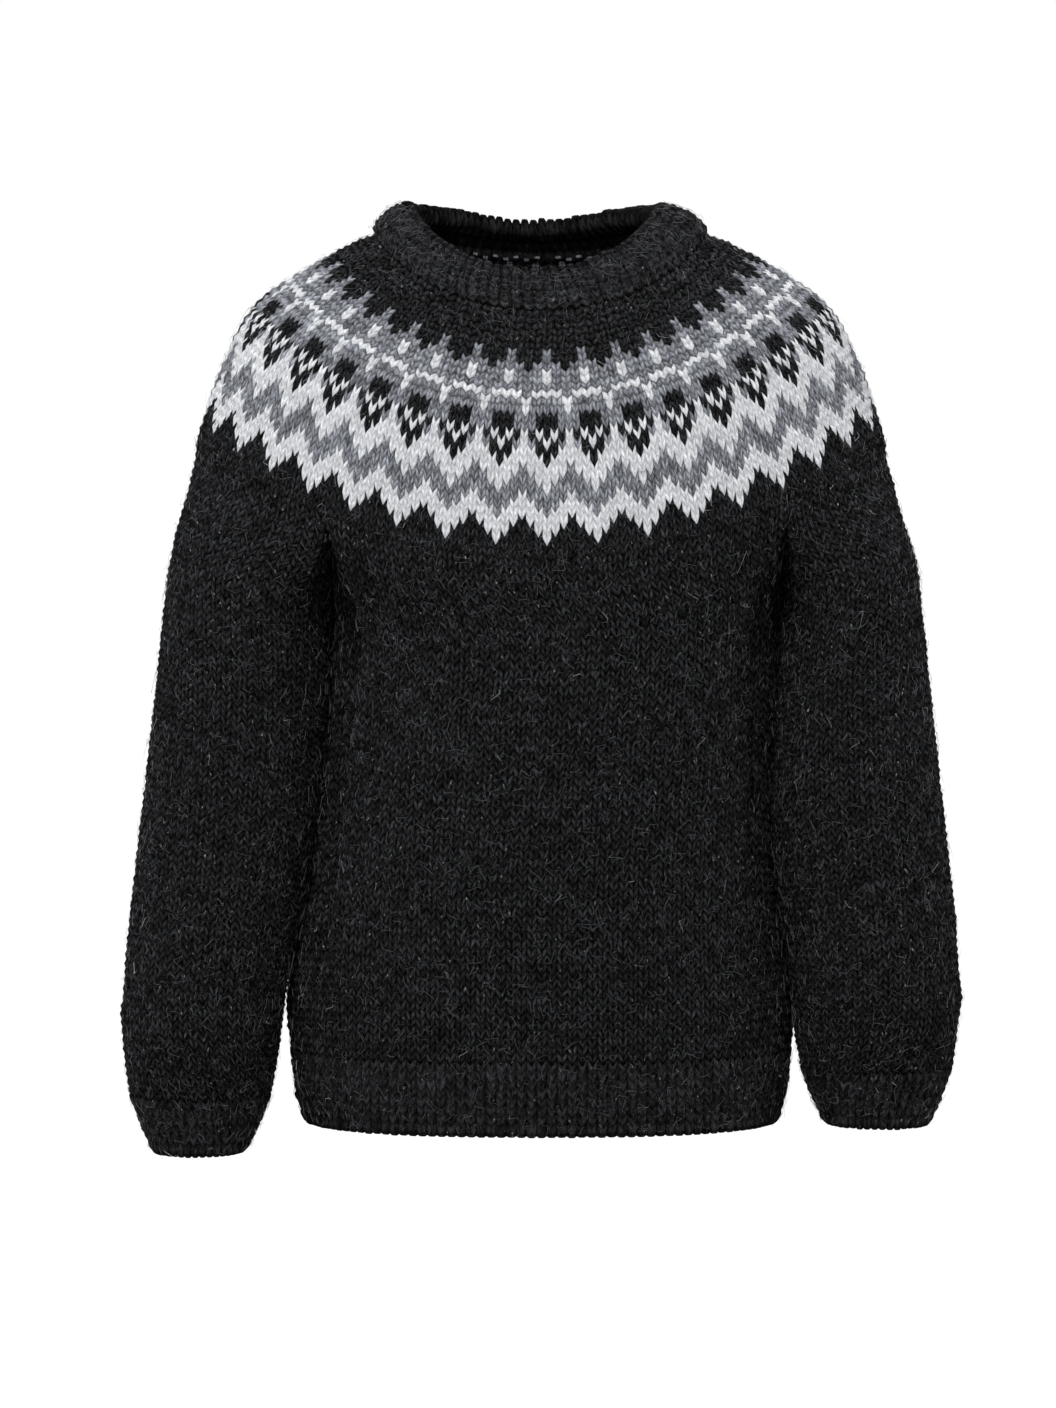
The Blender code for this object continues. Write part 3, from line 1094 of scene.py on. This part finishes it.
class Nodes:
    """The node tree of one material."""

    def __init__(self, name: str) -> None:
        """Start a material with its Principled shader.

        Args:
            name: The material's name.
        """
        self.material = bpy.data.materials.new(name)
        self.material.use_nodes = True
        self.tree = self.material.node_tree
        self.shader = self.tree.nodes["Principled BSDF"]

    def add(
        self, kind: str, settings: dict[str, Any] | None = None, values: dict[Any, Any] | None = None,
        output: Any = 0,
    ) -> Wire:
        """Add a node.

        Args:
            kind: The node's type.
            settings: Its own settings.
            values: What its sockets take, as numbers or wires.
            output: Which output to hand back.

        Returns:
            That output.
        """
        node = self.tree.nodes.new(kind)
        for key, value in (settings or {}).items():
            setattr(node, key, value)
        for key, value in (values or {}).items():
            self.put(node.inputs[key], value)
        return Wire(self, node.outputs[output])

    def put(self, socket: Any, value: Any) -> None:
        """Feed a socket.

        Args:
            socket: The socket.
            value: A number, a colour or a wire.
        """
        if isinstance(value, Wire):
            self.tree.links.new(value.socket, socket)
        else:
            socket.default_value = value

    def mix(self, share: Any, first: Any, second: Any) -> Wire:
        """Mix two colours."""
        return self.add("ShaderNodeMix", {"data_type": "RGBA"}, {0: share, 6: first, 7: second}, 2)

    def scaled(self, vector: Wire, scale: tuple[float, float, float]) -> Wire:
        """Multiply a vector by three numbers."""
        return self.add("ShaderNodeVectorMath", {"operation": "MULTIPLY"}, {0: vector, 1: scale})

    def noise(self, vector: Wire, scale: float, detail: float = 2.0, rough: float = 0.5) -> Wire:
        """A noise over a vector."""
        values = {"Vector": vector, "Scale": scale, "Detail": detail, "Roughness": rough}
        return self.add("ShaderNodeTexNoise", {}, values)


@dataclass(frozen=True)
class Wool:
    """A lofty, hairy carded wool, spun in one ply from fibres of several shades."""

    name: str
    ribbed: bool = False
    roughness: float = 0.92
    bump: float = 0.55
    bump_depth: float = 0.0012
    hair_colour: tuple[float, ...] = (0.105, 0.108, 0.115, 1.0)
    hair_share: float = 0.35
    kemp_colour: tuple[float, ...] = (0.42, 0.42, 0.43, 1.0)
    kemp_share: float = 0.8
    # painted shade: the share taken off the colour of the cloth's inner wall
    inside_painted_shade: float = 0.45

    def stitch_relief_and_groove_shade(self, nodes: Nodes, stitches: Wire) -> Wire:
        """Shape the stitches, for the bump and for the painted shade in their gaps.

        Args:
            nodes: The material's nodes.
            stitches: Places in stitches and rows.

        Returns:
            1 on the yarn's crests, and less in the gaps between stitches and rows, where it darkens the
            colour as painted shade.
        """
        split = nodes.add("ShaderNodeSeparateXYZ", {}, {0: stitches}).socket.node
        across, up = (Wire(nodes, split.outputs[axis]).math("FRACT") for axis in (0, 1))
        edge = abs(across * 2.0 - 1.0)
        course = up.arch(0.9)
        # the same profile gives the bump's height and the painted shade that darkens the gaps between
        # stitches and rows
        if self.ribbed:
            return (0.30 + 0.70 * (1.0 - edge**4.0)) * (0.30 + 0.70 * course)
        return (0.10 + 0.90 * edge.arch(0.6)) * (0.02 + 0.98 * course)

    def loose_hair(self, nodes: Nodes, place: Wire) -> Wire:
        """Draw the hairs that lie on the cloth.

        Args:
            nodes: The material's nodes.
            place: Object coordinates.

        Returns:
            1 on a hair.
        """
        curls = nodes.noise(place, 170.0, 2.0, 0.6)
        broken = nodes.noise(place, 420.0, 1.0)
        second = nodes.noise(nodes.scaled(place, (1.0, 1.0, 1.3)), 260.0, 1.0)
        long_hairs = curls.vein(0.011) * broken.step(0.50, 0.64)
        return long_hairs.math("MAXIMUM", second.vein(0.010) * curls.step(0.56, 0.70))

    def dress(self) -> bpy.types.Material:
        """Mix the fibres, the painted shade in the gaps between stitches and rows, and the hairs.

        Returns:
            The material.
        """
        nodes = Nodes(self.name)
        yarn = nodes.add("ShaderNodeAttribute", {"attribute_name": "yarn"}, {}, "Color")
        inside = nodes.add("ShaderNodeAttribute", {"attribute_name": "inside"}, {}, "Fac")
        stitches = nodes.add("ShaderNodeUVMap", {"uv_map": "stitches"}, {})
        # painted shade: this stitch profile darkens the colour in the gaps between stitches and rows, and
        # is also the bump's height
        body = self.stitch_relief_and_groove_shade(nodes, stitches)
        hair = self.loose_hair(nodes, nodes.add("ShaderNodeTexCoord", {}, {}, "Object"))
        fibres = nodes.noise(nodes.scaled(stitches, (9.0, 1.6, 1.0)), 2.0, 3.0, 0.65)
        heather = nodes.noise(nodes.scaled(stitches, (3.0, 0.8, 1.0)), 1.0, 2.0, 0.6)
        kemp = nodes.noise(nodes.scaled(stitches, (1.7, 0.9, 1.0)), 1.9, 0.0).step(0.775, 0.80)
        kemp = kemp * fibres.step(0.5, 0.6) * self.kemp_share * (1.0 - inside)
        shade = nodes.add("ShaderNodeSeparateColor", {}, {0: yarn}).step(0.02, 0.5)
        # painted shade: how dark the gaps between stitches get, as a share of the yarn's colour, darker on
        # dark yarn
        darkest_groove_shade = 0.02 + 0.58 * shade
        streak = (fibres.step(0.30, 0.70) - 0.5) * (1.6 - 0.9 * shade)
        cloud = (heather.step(0.30, 0.70) - 0.5) * (1.3 - shade)
        # the painted shade of the gaps, times the fibre streaks and the heather
        tone = (darkest_groove_shade + (1.0 - darkest_groove_shade) * body) * (1.0 + streak) * (1.0 + cloud)
        # painted shade: the inner wall is darkened, where the inside of the garment lies in shade
        tone = tone * (1.0 - self.inside_painted_shade * inside)
        colour = nodes.add("ShaderNodeVectorMath", {"operation": "SCALE"}, {0: yarn, "Scale": tone})
        colour = nodes.mix(hair * self.hair_share, colour, self.hair_colour)
        colour = nodes.mix(kemp, colour, self.kemp_colour)
        nodes.put(nodes.shader.inputs["Base Color"], colour)
        height = body * 0.75 + fibres * 0.30 + hair * 0.22
        values = {"Strength": self.bump, "Distance": self.bump_depth, "Height": height}
        nodes.put(nodes.shader.inputs["Normal"], nodes.add("ShaderNodeBump", {}, values))
        nodes.shader.inputs["Roughness"].default_value = self.roughness
        nodes.shader.inputs["Specular IOR Level"].default_value = 0.0
        return nodes.material


@dataclass(frozen=True)
class HairFinish:
    """One shade of loose hair."""

    name: str
    colour: tuple[float, float, float]

    def dress(self) -> bpy.types.Material:
        """Make the hair's finish.

        Returns:
            The material.
        """
        nodes = Nodes(self.name)
        nodes.shader.inputs["Base Color"].default_value = (*self.colour, 1.0)
        nodes.shader.inputs["Roughness"].default_value = 0.6
        nodes.shader.inputs["Specular IOR Level"].default_value = 0.2
        return nodes.material


HAIR_SHADES = (
    HairFinish("dark_hair", (0.03, 0.03, 0.033)),
    HairFinish("grey_hair", (0.135, 0.138, 0.147)),
    HairFinish("pale_hair", (0.50, 0.51, 0.52)),
)


# ---------------------------------------------------------------- the sweater


@dataclass(frozen=True)
class EvenPitch:
    """Columns the same distance apart, turned round the ring by a small distance."""

    shift: float = 0.0

    def __call__(self, length: float, columns: int) -> np.ndarray:
        """Places of the columns round a ring."""
        return np.arange(columns) / columns * length + self.shift


@dataclass(frozen=True)
class SideEase:
    """Columns of one width where the cloth shows, with the rest of the ring let out at its sides."""

    width: float
    give: float
    centres: tuple[float, ...]
    span: float

    def __call__(self, length: float, columns: int) -> np.ndarray:
        """Places of the columns round a ring.

        Args:
            length: The ring's length.
            columns: How many columns share it.

        Returns:
            Their distances from the ring's start.
        """
        fine = np.linspace(0.0, 1.0, 4001)
        own = self.width * (length / self.width) ** self.give
        bump = np.zeros_like(fine)
        for centre in self.centres:
            away = np.abs(np.mod(fine - centre + 0.5, 1.0) - 0.5)
            bump += np.where(away < self.span, np.cos(math.pi / 2 * away / self.span) ** 2, 0.0)
        density = own + (length - own) * bump / bump.mean()
        density = np.maximum(density, 0.25 * length)
        run = np.concatenate([[0.0], np.cumsum((density[1:] + density[:-1]) / 2)])
        return np.interp(np.arange(columns) / columns, fine, run / run[-1] * length)


def plain(row: int, stitches: np.ndarray) -> np.ndarray:
    """The chart of a piece in charcoal alone."""
    return np.full(len(stitches), DARK)


HEAD_WIDTHS = {9: 0, 10: 1, 11: 1, 12: 2, 13: 1, 14: 1}  # by the chart's row
HEAD_DOTS = {11: 0, 12: 1}


@dataclass(frozen=True)
class YokeChart:
    """The yoke's pattern of zigzags and flower heads, worked in repeats round the neck."""

    plain_rows: int = 2
    charted_rows: int = 24
    wide_rows: int = 16
    wide_repeat: int = 6
    narrow_repeat: int = 4

    def __call__(self, row: int, stitches: np.ndarray) -> np.ndarray:
        """Read a row of the chart.

        Args:
            row: The row's number, from the yoke's lower edge.
            stitches: The stitches' numbers round it.

        Returns:
            The yarn of each stitch.
        """
        number = row - self.plain_rows
        if number < 0 or number >= self.charted_rows:
            return np.full(len(stitches), DARK)
        wide = number < self.wide_rows
        repeat = self.wide_repeat if wide else self.narrow_repeat
        off = np.abs(np.mod(stitches + repeat // 2, repeat) - repeat // 2)
        return self.zigzag(number, off) if wide else self.spikes(number, off)

    def zigzag(self, number: int, off: np.ndarray) -> np.ndarray:
        """Chart the zigzags, and the flower heads between their peaks.

        Args:
            number: The row's number in the chart.
            off: How far each stitch is from the middle of its repeat.

        Returns:
            The yarn of each stitch.
        """
        yarn = np.full(len(off), MID)
        step = number - off
        yarn[step < 0] = DARK
        yarn[(step >= 0) & (step < 3)] = PALE
        yarn[(step >= 6) & (step < 9)] = PALE
        if number >= 9:
            above = step >= 9
            yarn[above] = MID
            yarn[above & (off <= HEAD_WIDTHS.get(number, -1))] = DARK
            if number in HEAD_DOTS:
                yarn[off == HEAD_DOTS[number]] = PALE
            if number in (12, 15):
                yarn[off == 3] = PALE
        return yarn

    def spikes(self, number: int, off: np.ndarray) -> np.ndarray:
        """Chart the rows above the heads: a broken pale line, pale buds and grey spikes.

        Args:
            number: The row's number in the chart.
            off: How far each stitch is from the middle of its repeat.

        Returns:
            The yarn of each stitch.
        """
        yarn = np.full(len(off), MID)
        if number == 16:
            yarn[off == 2] = PALE
        elif number == 17:
            yarn[off < 2] = PALE
        elif number in (19, 20):
            yarn[off == 0] = PALE
        elif number == 21:
            yarn[off == 2] = DARK
        elif number >= 22:
            yarn[off > 0] = DARK
        return yarn


STOCKING = Relief(height=0.0020, base=-0.0010, middle=0.50, row_groove=0.42, lean=0.85)
YOKE_STITCH = Relief(height=0.0018, base=-0.0006, middle=0.45, row_groove=0.70, lean=0.90)
RIB = Relief(height=0.0024, base=-0.0012, middle=0.60, row_groove=0.35, lean=0.60, ribbed=True)
NECK_RIB = Relief(height=0.0038, base=-0.0014, middle=0.55, row_groove=0.25, lean=0.50, ribbed=True)

BODY_FOLDS = (
    # let out where the sleeves lie
    Fold((0.75, 1.15), (0.75, 0.20), 0.030, 0.0024),
    Fold((0.25, 1.15), (0.25, 0.20), 0.030, 0.0024),
    Fold((0.75, 0.55), (0.75, -0.05), 0.030, 0.0018),
    Fold((0.25, 0.55), (0.25, -0.05), 0.030, 0.0018),
    # taken in beside them, in front
    Fold((0.662, 1.12), (0.678, -0.05), 0.024, -0.0085),
    Fold((0.338, 1.12), (0.322, -0.05), 0.024, -0.0085),
    Fold((0.655, 0.70), (0.66, 0.10), 0.020, 0.0020),
    Fold((0.345, 0.60), (0.35, 0.05), 0.022, 0.0018),
    # and behind
    Fold((0.155, 1.10), (0.168, 0.10), 0.017, -0.0060),
    Fold((0.845, 1.10), (0.832, 0.08), 0.018, -0.0060),
    # lesser folds
    Fold((0.57, 0.35), (0.59, 0.02), 0.018, 0.0012),
    Fold((0.44, 0.25), (0.43, 0.00), 0.016, 0.0012),
    Fold((0.06, 0.90), (0.09, 0.60), 0.022, -0.0020),
    Fold((0.94, 0.30), (0.95, 0.00), 0.020, 0.0015),
)
SLEEVE_FOLDS = (
    # let out where the body lies
    Fold((0.0, 1.10), (0.0, 0.25), 0.026, 0.0020),
    Fold((0.0, 0.60), (0.0, 0.00), 0.026, 0.0016),
    # creases in front and at the elbow
    Fold((0.26, 0.80), (0.33, 0.45), 0.012, -0.0025),
    Fold((0.24, 0.30), (0.36, 0.10), 0.011, -0.0022),
    Fold((0.42, 0.16), (0.60, 0.05), 0.010, 0.0016),
    Fold((0.72, 0.75), (0.66, 0.40), 0.013, -0.0025),
    Fold((0.78, 0.28), (0.70, 0.08), 0.011, -0.0022),
)


def tube_form(rings: Form, top: float, bottom: float) -> Form:
    """Take the cloth's form from part of a tube.

    Args:
        rings: Gives points at places down the tube and angles from the front.
        top: The place of the piece's top.
        bottom: The place of its bottom.

    Returns:
        Gives points at shares up the piece and angles from its centre back.
    """
    def form(up: np.ndarray, angles: np.ndarray) -> np.ndarray:
        """Points at shares up the piece."""
        return rings(bottom + (top - bottom) * up, angles + math.pi)
    return form


@dataclass
class Sweater:
    """The eight knitted pieces, from the neck down."""

    garment: Garment = Garment()
    wall: float = 0.004
    columns_each: int = 4
    body_stitches: int = 140
    body_rows: int = 62
    body_gauge: float = 0.0068
    hem_rows: int = 8
    sleeve_stitches: int = 56
    sleeve_rows: int = 78
    sleeve_gauge: float = 0.0070
    cuff_rows: int = 6
    neck_stitches: int = 88
    neck_columns_each: int = 8
    neck_rows: int = 7
    neck_wall: float = 0.007
    yoke_columns: int = 864
    yoke_turn: float = 0.0035
    yoke_bands: tuple[Band, ...] = (Band(18, 216), Band(8, 144), Band(3, 108), Band(3, 72))
    yoke_places: tuple[tuple[float, float], ...] = (
        (0, 0.0), (2, 0.0593), (5, 0.1614), (8, 0.2532), (11, 0.3611), (19, 0.6417),
        (23, 0.7536), (26, 0.8396), (32, 1.0),
    )
    yoke_leans: tuple[tuple[float, float], ...] = ((0.0, 0.90), (13.0, 0.85), (18.0, 0.60), (32.0, 0.55))

    def __post_init__(self) -> None:
        """Make the finishes."""
        self.yoke_wool = Wool("knit_yoke_wool").dress()
        self.charcoal_wool = Wool("knit_charcoal_wool").dress()
        self.charcoal_rib = Wool("knit_charcoal_rib", ribbed=True).dress()
        self.hair_finishes = [shade.dress() for shade in HAIR_SHADES]

    def sleeve_form(self, arm: Arm, top: float, bottom: float) -> Form:
        """Take the cloth's form from part of a sleeve.

        Args:
            arm: Which sleeve.
            top: The depth of the piece's top.
            bottom: The depth of its bottom.

        Returns:
            Gives points at shares up the piece and angles from its inner side.
        """
        def form(up: np.ndarray, angles: np.ndarray) -> np.ndarray:
            """Points at shares up the piece."""
            turned = (angles if arm.side > 0 else -angles) + 1.5 * math.pi
            points = self.garment.sleeve_points(arm, bottom + (top - bottom) * up, turned)
            return points * np.array([arm.side, 1.0, 1.0])
        return form

    def stocking(self, rows: int, stitches: int, folds: tuple[Fold, ...], seed: int) -> Knitting:
        """Set the gauge of a plain tube.

        Args:
            rows: Its rows.
            stitches: The stitches round it.
            folds: Its folds.
            seed: Where its unevenness starts.

        Returns:
            The gauge.
        """
        return Knitting(
            stitches * self.columns_each, (Band(rows, stitches),), STOCKING, self.wall,
            inner_lines=12, tuck_rows=1.2, folds=folds, seed=seed,
        )

    def rib(self, rows: int, stitches: int, top_lean: float, seed: int) -> Knitting:
        """Set the gauge of a rib that ends a tube.

        Args:
            rows: Its rows.
            stitches: The stitches round it.
            top_lean: How far its top stitches lean.
            seed: Where its unevenness starts.

        Returns:
            The gauge.
        """
        return Knitting(
            stitches * self.columns_each, (Band(rows, stitches),), RIB, self.wall,
            row_leans=((0.0, 0.60), (rows - 1.0, top_lean)), inner_lines=5, rim_lines=3,
            open_bottom=True, fades=(1.0, 0.0), seed=seed,
        )

    def finish_piece(
        self, cloth: Cloth, material: bpy.types.Material,
        hairs: int,
    ) -> None:
        """Build a piece with its hairs, attach both to the body, and hide the CAD part of the same name.

        Args:
            cloth: The piece's cloth.
            material: Its finish.
            hairs: How many loose hairs it has.
        """
        name = cloth.name.removesuffix("_knit")
        piece = cloth.mesh(material)
        fuzz = Hairs(hairs).grow(f"{name}_hairs", cloth, self.hair_finishes)
        for made in (piece, fuzz):
            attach(made, BODY)
        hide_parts(name)
        cloth_area = sum(face.area for face in piece.data.polygons) / 2.0
        counts = [sum(face.loop_total - 2 for face in made.data.polygons) for made in (piece, fuzz)]
        LOG.info("%s: %.4f square metres, %d and %d triangles", name, cloth_area, *counts)

    def build_neckband(self) -> None:
        """Build the doubled rib round the neck."""
        form = tube_form(self.garment.collar_points, 0.0, len(self.garment.collar_rings) - 1.0)
        knitting = Knitting(
            self.neck_stitches * self.neck_columns_each, (Band(self.neck_rows, self.neck_stitches),),
            NECK_RIB, self.neck_wall, inner_lines=15, inner_relief=0.0013, rim_wall=0.0130,
            rim_lines=7, open_top=True, fades=(0.0, 1.5), lap_rows=0.6, floats=12, seed=21,
        )
        cloth = Cloth("neckband_knit", form, knitting, EvenPitch(), plain)
        self.finish_piece(cloth, self.charcoal_rib, 1600)

    def build_yoke(self) -> None:
        """Build the patterned round yoke."""
        garment = self.garment
        form = tube_form(garment.neck_points, garment.neck_seam, len(garment.neck_rings) - 1.0)
        knitting = Knitting(
            self.yoke_columns, self.yoke_bands, YOKE_STITCH, self.wall, self.yoke_places,
            self.yoke_leans, inner_lines=16, inner_crowding=1.6, lap_rows=1.0, tuck_rows=1.2, seed=31,
        )
        cloth = Cloth("yoke_knit", form, knitting, EvenPitch(self.yoke_turn), YokeChart())
        self.finish_piece(cloth, self.yoke_wool, 6000)

    def build_body(self) -> None:
        """Build the body tube and its rib."""
        seam = self.garment.hem_depth()
        ease = SideEase(self.body_stitches * self.body_gauge, 0.15, (0.25, 0.75), 0.11)
        knitting = self.stocking(self.body_rows, self.body_stitches, BODY_FOLDS, 41)
        form = tube_form(self.garment.body_points, 0.0, seam)
        cloth = Cloth("body_knit", form, knitting, ease, plain)
        self.finish_piece(cloth, self.charcoal_wool, 11000)
        knitting = self.rib(self.hem_rows, self.body_stitches, 0.85, 51)
        form = tube_form(self.garment.body_points, seam, 1.0)
        cloth = Cloth("hem_rib_knit", form, knitting, ease, plain)
        self.finish_piece(cloth, self.charcoal_rib, 1400)

    def build_sleeve(self, side: str, arm: Arm, seed: int) -> None:
        """Build a sleeve tube and its cuff.

        Args:
            side: left or right.
            arm: Its sizes.
            seed: Where its unevenness starts.
        """
        seam = self.garment.cuff_depth(arm)
        ease = SideEase(self.sleeve_stitches * self.sleeve_gauge, 0.35, (0.0,), 0.20)
        folds = tuple(fold if arm.side > 0 else fold.mirrored() for fold in SLEEVE_FOLDS)
        knitting = self.stocking(self.sleeve_rows, self.sleeve_stitches, folds, seed)
        cloth = Cloth(f"sleeve_{side}_knit", self.sleeve_form(arm, 0.0, seam), knitting, ease, plain)
        self.finish_piece(cloth, self.charcoal_wool, 5400)
        knitting = self.rib(self.cuff_rows, self.sleeve_stitches, 0.75, seed + 5)
        cloth = Cloth(f"cuff_{side}_knit", self.sleeve_form(arm, seam, 1.0), knitting, ease, plain)
        self.finish_piece(cloth, self.charcoal_rib, 500)

    def build(self) -> None:
        """Build every piece, from the neck down."""
        self.build_neckband()
        self.build_yoke()
        self.build_body()
        self.build_sleeve("left", self.garment.left, 61)
        self.build_sleeve("right", self.garment.right, 71)


# ---------------------------------------------------------------- studio


@dataclass(frozen=True)
class SoftBox:
    """A large soft light."""

    name: str
    place: tuple[float, float, float]
    size: float
    power: float

    def build(self, target: tuple[float, float, float]) -> None:
        """Hang the light.

        Args:
            target: The point that it is turned towards.
        """
        data = bpy.data.lights.new(self.name, "AREA")
        data.size = self.size
        data.energy = self.power
        light = bpy.data.objects.new(self.name, data)
        light.location = self.place
        away = np.array(self.place) - np.array(target)
        flat = math.hypot(away[0], away[1])
        light.rotation_euler = (math.atan2(flat, away[2]), 0.0, math.atan2(away[1], away[0]) + math.pi / 2)
        bpy.context.scene.collection.objects.link(light)


@dataclass(frozen=True)
class Studio:
    """A plain pale studio with soft light from the front."""

    floor_z: float = -1.15
    floor_size: float = 60.0
    floor_shade: float = 0.86
    floor_glow: float = 0.75
    ambient: float = 0.32
    eye: tuple[float, float, float] = (-0.0091, -2.6, -0.3283)
    lens: float = 95.0
    target: tuple[float, float, float] = (0.0, 0.0, -0.30)
    lights: tuple[SoftBox, ...] = (
        SoftBox("key", (-0.2, -1.8, 1.1), 1.5, 54.0),
        SoftBox("left_side", (-2.6, -0.6, 0.3), 1.5, 28.0),
        SoftBox("right_side", (2.6, -0.6, 0.3), 1.5, 24.0),
        SoftBox("back", (0.2, 1.9, 1.1), 1.5, 46.0),
    )

    def build(self) -> None:
        """Set the camera, the lights and the floor."""
        scene = bpy.context.scene
        data = bpy.data.cameras.new("camera")
        data.lens = self.lens
        data.sensor_width = 36.0
        camera = bpy.data.objects.new("camera", data)
        camera.location = self.eye
        camera.rotation_euler = (math.pi / 2, 0.0, 0.0)
        scene.collection.objects.link(camera)
        scene.camera = camera
        scene.view_settings.view_transform = "Standard"
        scene.view_settings.look = "None"
        for light in self.lights:
            light.build(self.target)
        self.build_world()
        self.build_floor()

    def build_world(self) -> None:
        """Even white light from all round."""
        world = bpy.data.worlds.new("studio")
        world.use_nodes = True
        tree = world.node_tree
        background = tree.nodes["Background"]
        background.inputs["Color"].default_value = (1.0, 1.0, 1.0, 1.0)
        seen = tree.nodes.new("ShaderNodeLightPath").outputs["Is Camera Ray"]
        strength = tree.nodes.new("ShaderNodeMapRange")
        tree.links.new(seen, strength.inputs["Value"])
        strength.inputs["To Min"].default_value = self.ambient
        tree.links.new(strength.outputs["Result"], background.inputs["Strength"])
        bpy.context.scene.world = world

    def build_floor(self) -> None:
        """A wide pale floor, well below the garment."""
        bm = bmesh.new()
        bmesh.ops.create_grid(bm, x_segments=1, y_segments=1, size=self.floor_size / 2)
        bmesh.ops.translate(bm, verts=bm.verts, vec=(0.0, 0.0, self.floor_z))
        data = bpy.data.meshes.new("floor")
        bm.to_mesh(data)
        bm.free()
        nodes = Nodes("pale_floor")
        shade = (self.floor_shade,) * 3
        nodes.shader.inputs["Base Color"].default_value = (*shade, 1.0)
        nodes.shader.inputs["Roughness"].default_value = 0.9
        nodes.shader.inputs["Emission Color"].default_value = (1.0, 1.0, 1.0, 1.0)
        nodes.shader.inputs["Emission Strength"].default_value = self.floor_glow
        data.materials.append(nodes.material)
        floor = bpy.data.objects.new("floor", data)
        floor.visible_diffuse = False
        bpy.context.scene.collection.objects.link(floor)


def main() -> None:
    """Build the studio and the sweater."""
    logging.basicConfig(level=logging.INFO, format="%(name)s %(message)s")
    Studio().build()
    Sweater().build()


if __name__ == "__main__":
    main()
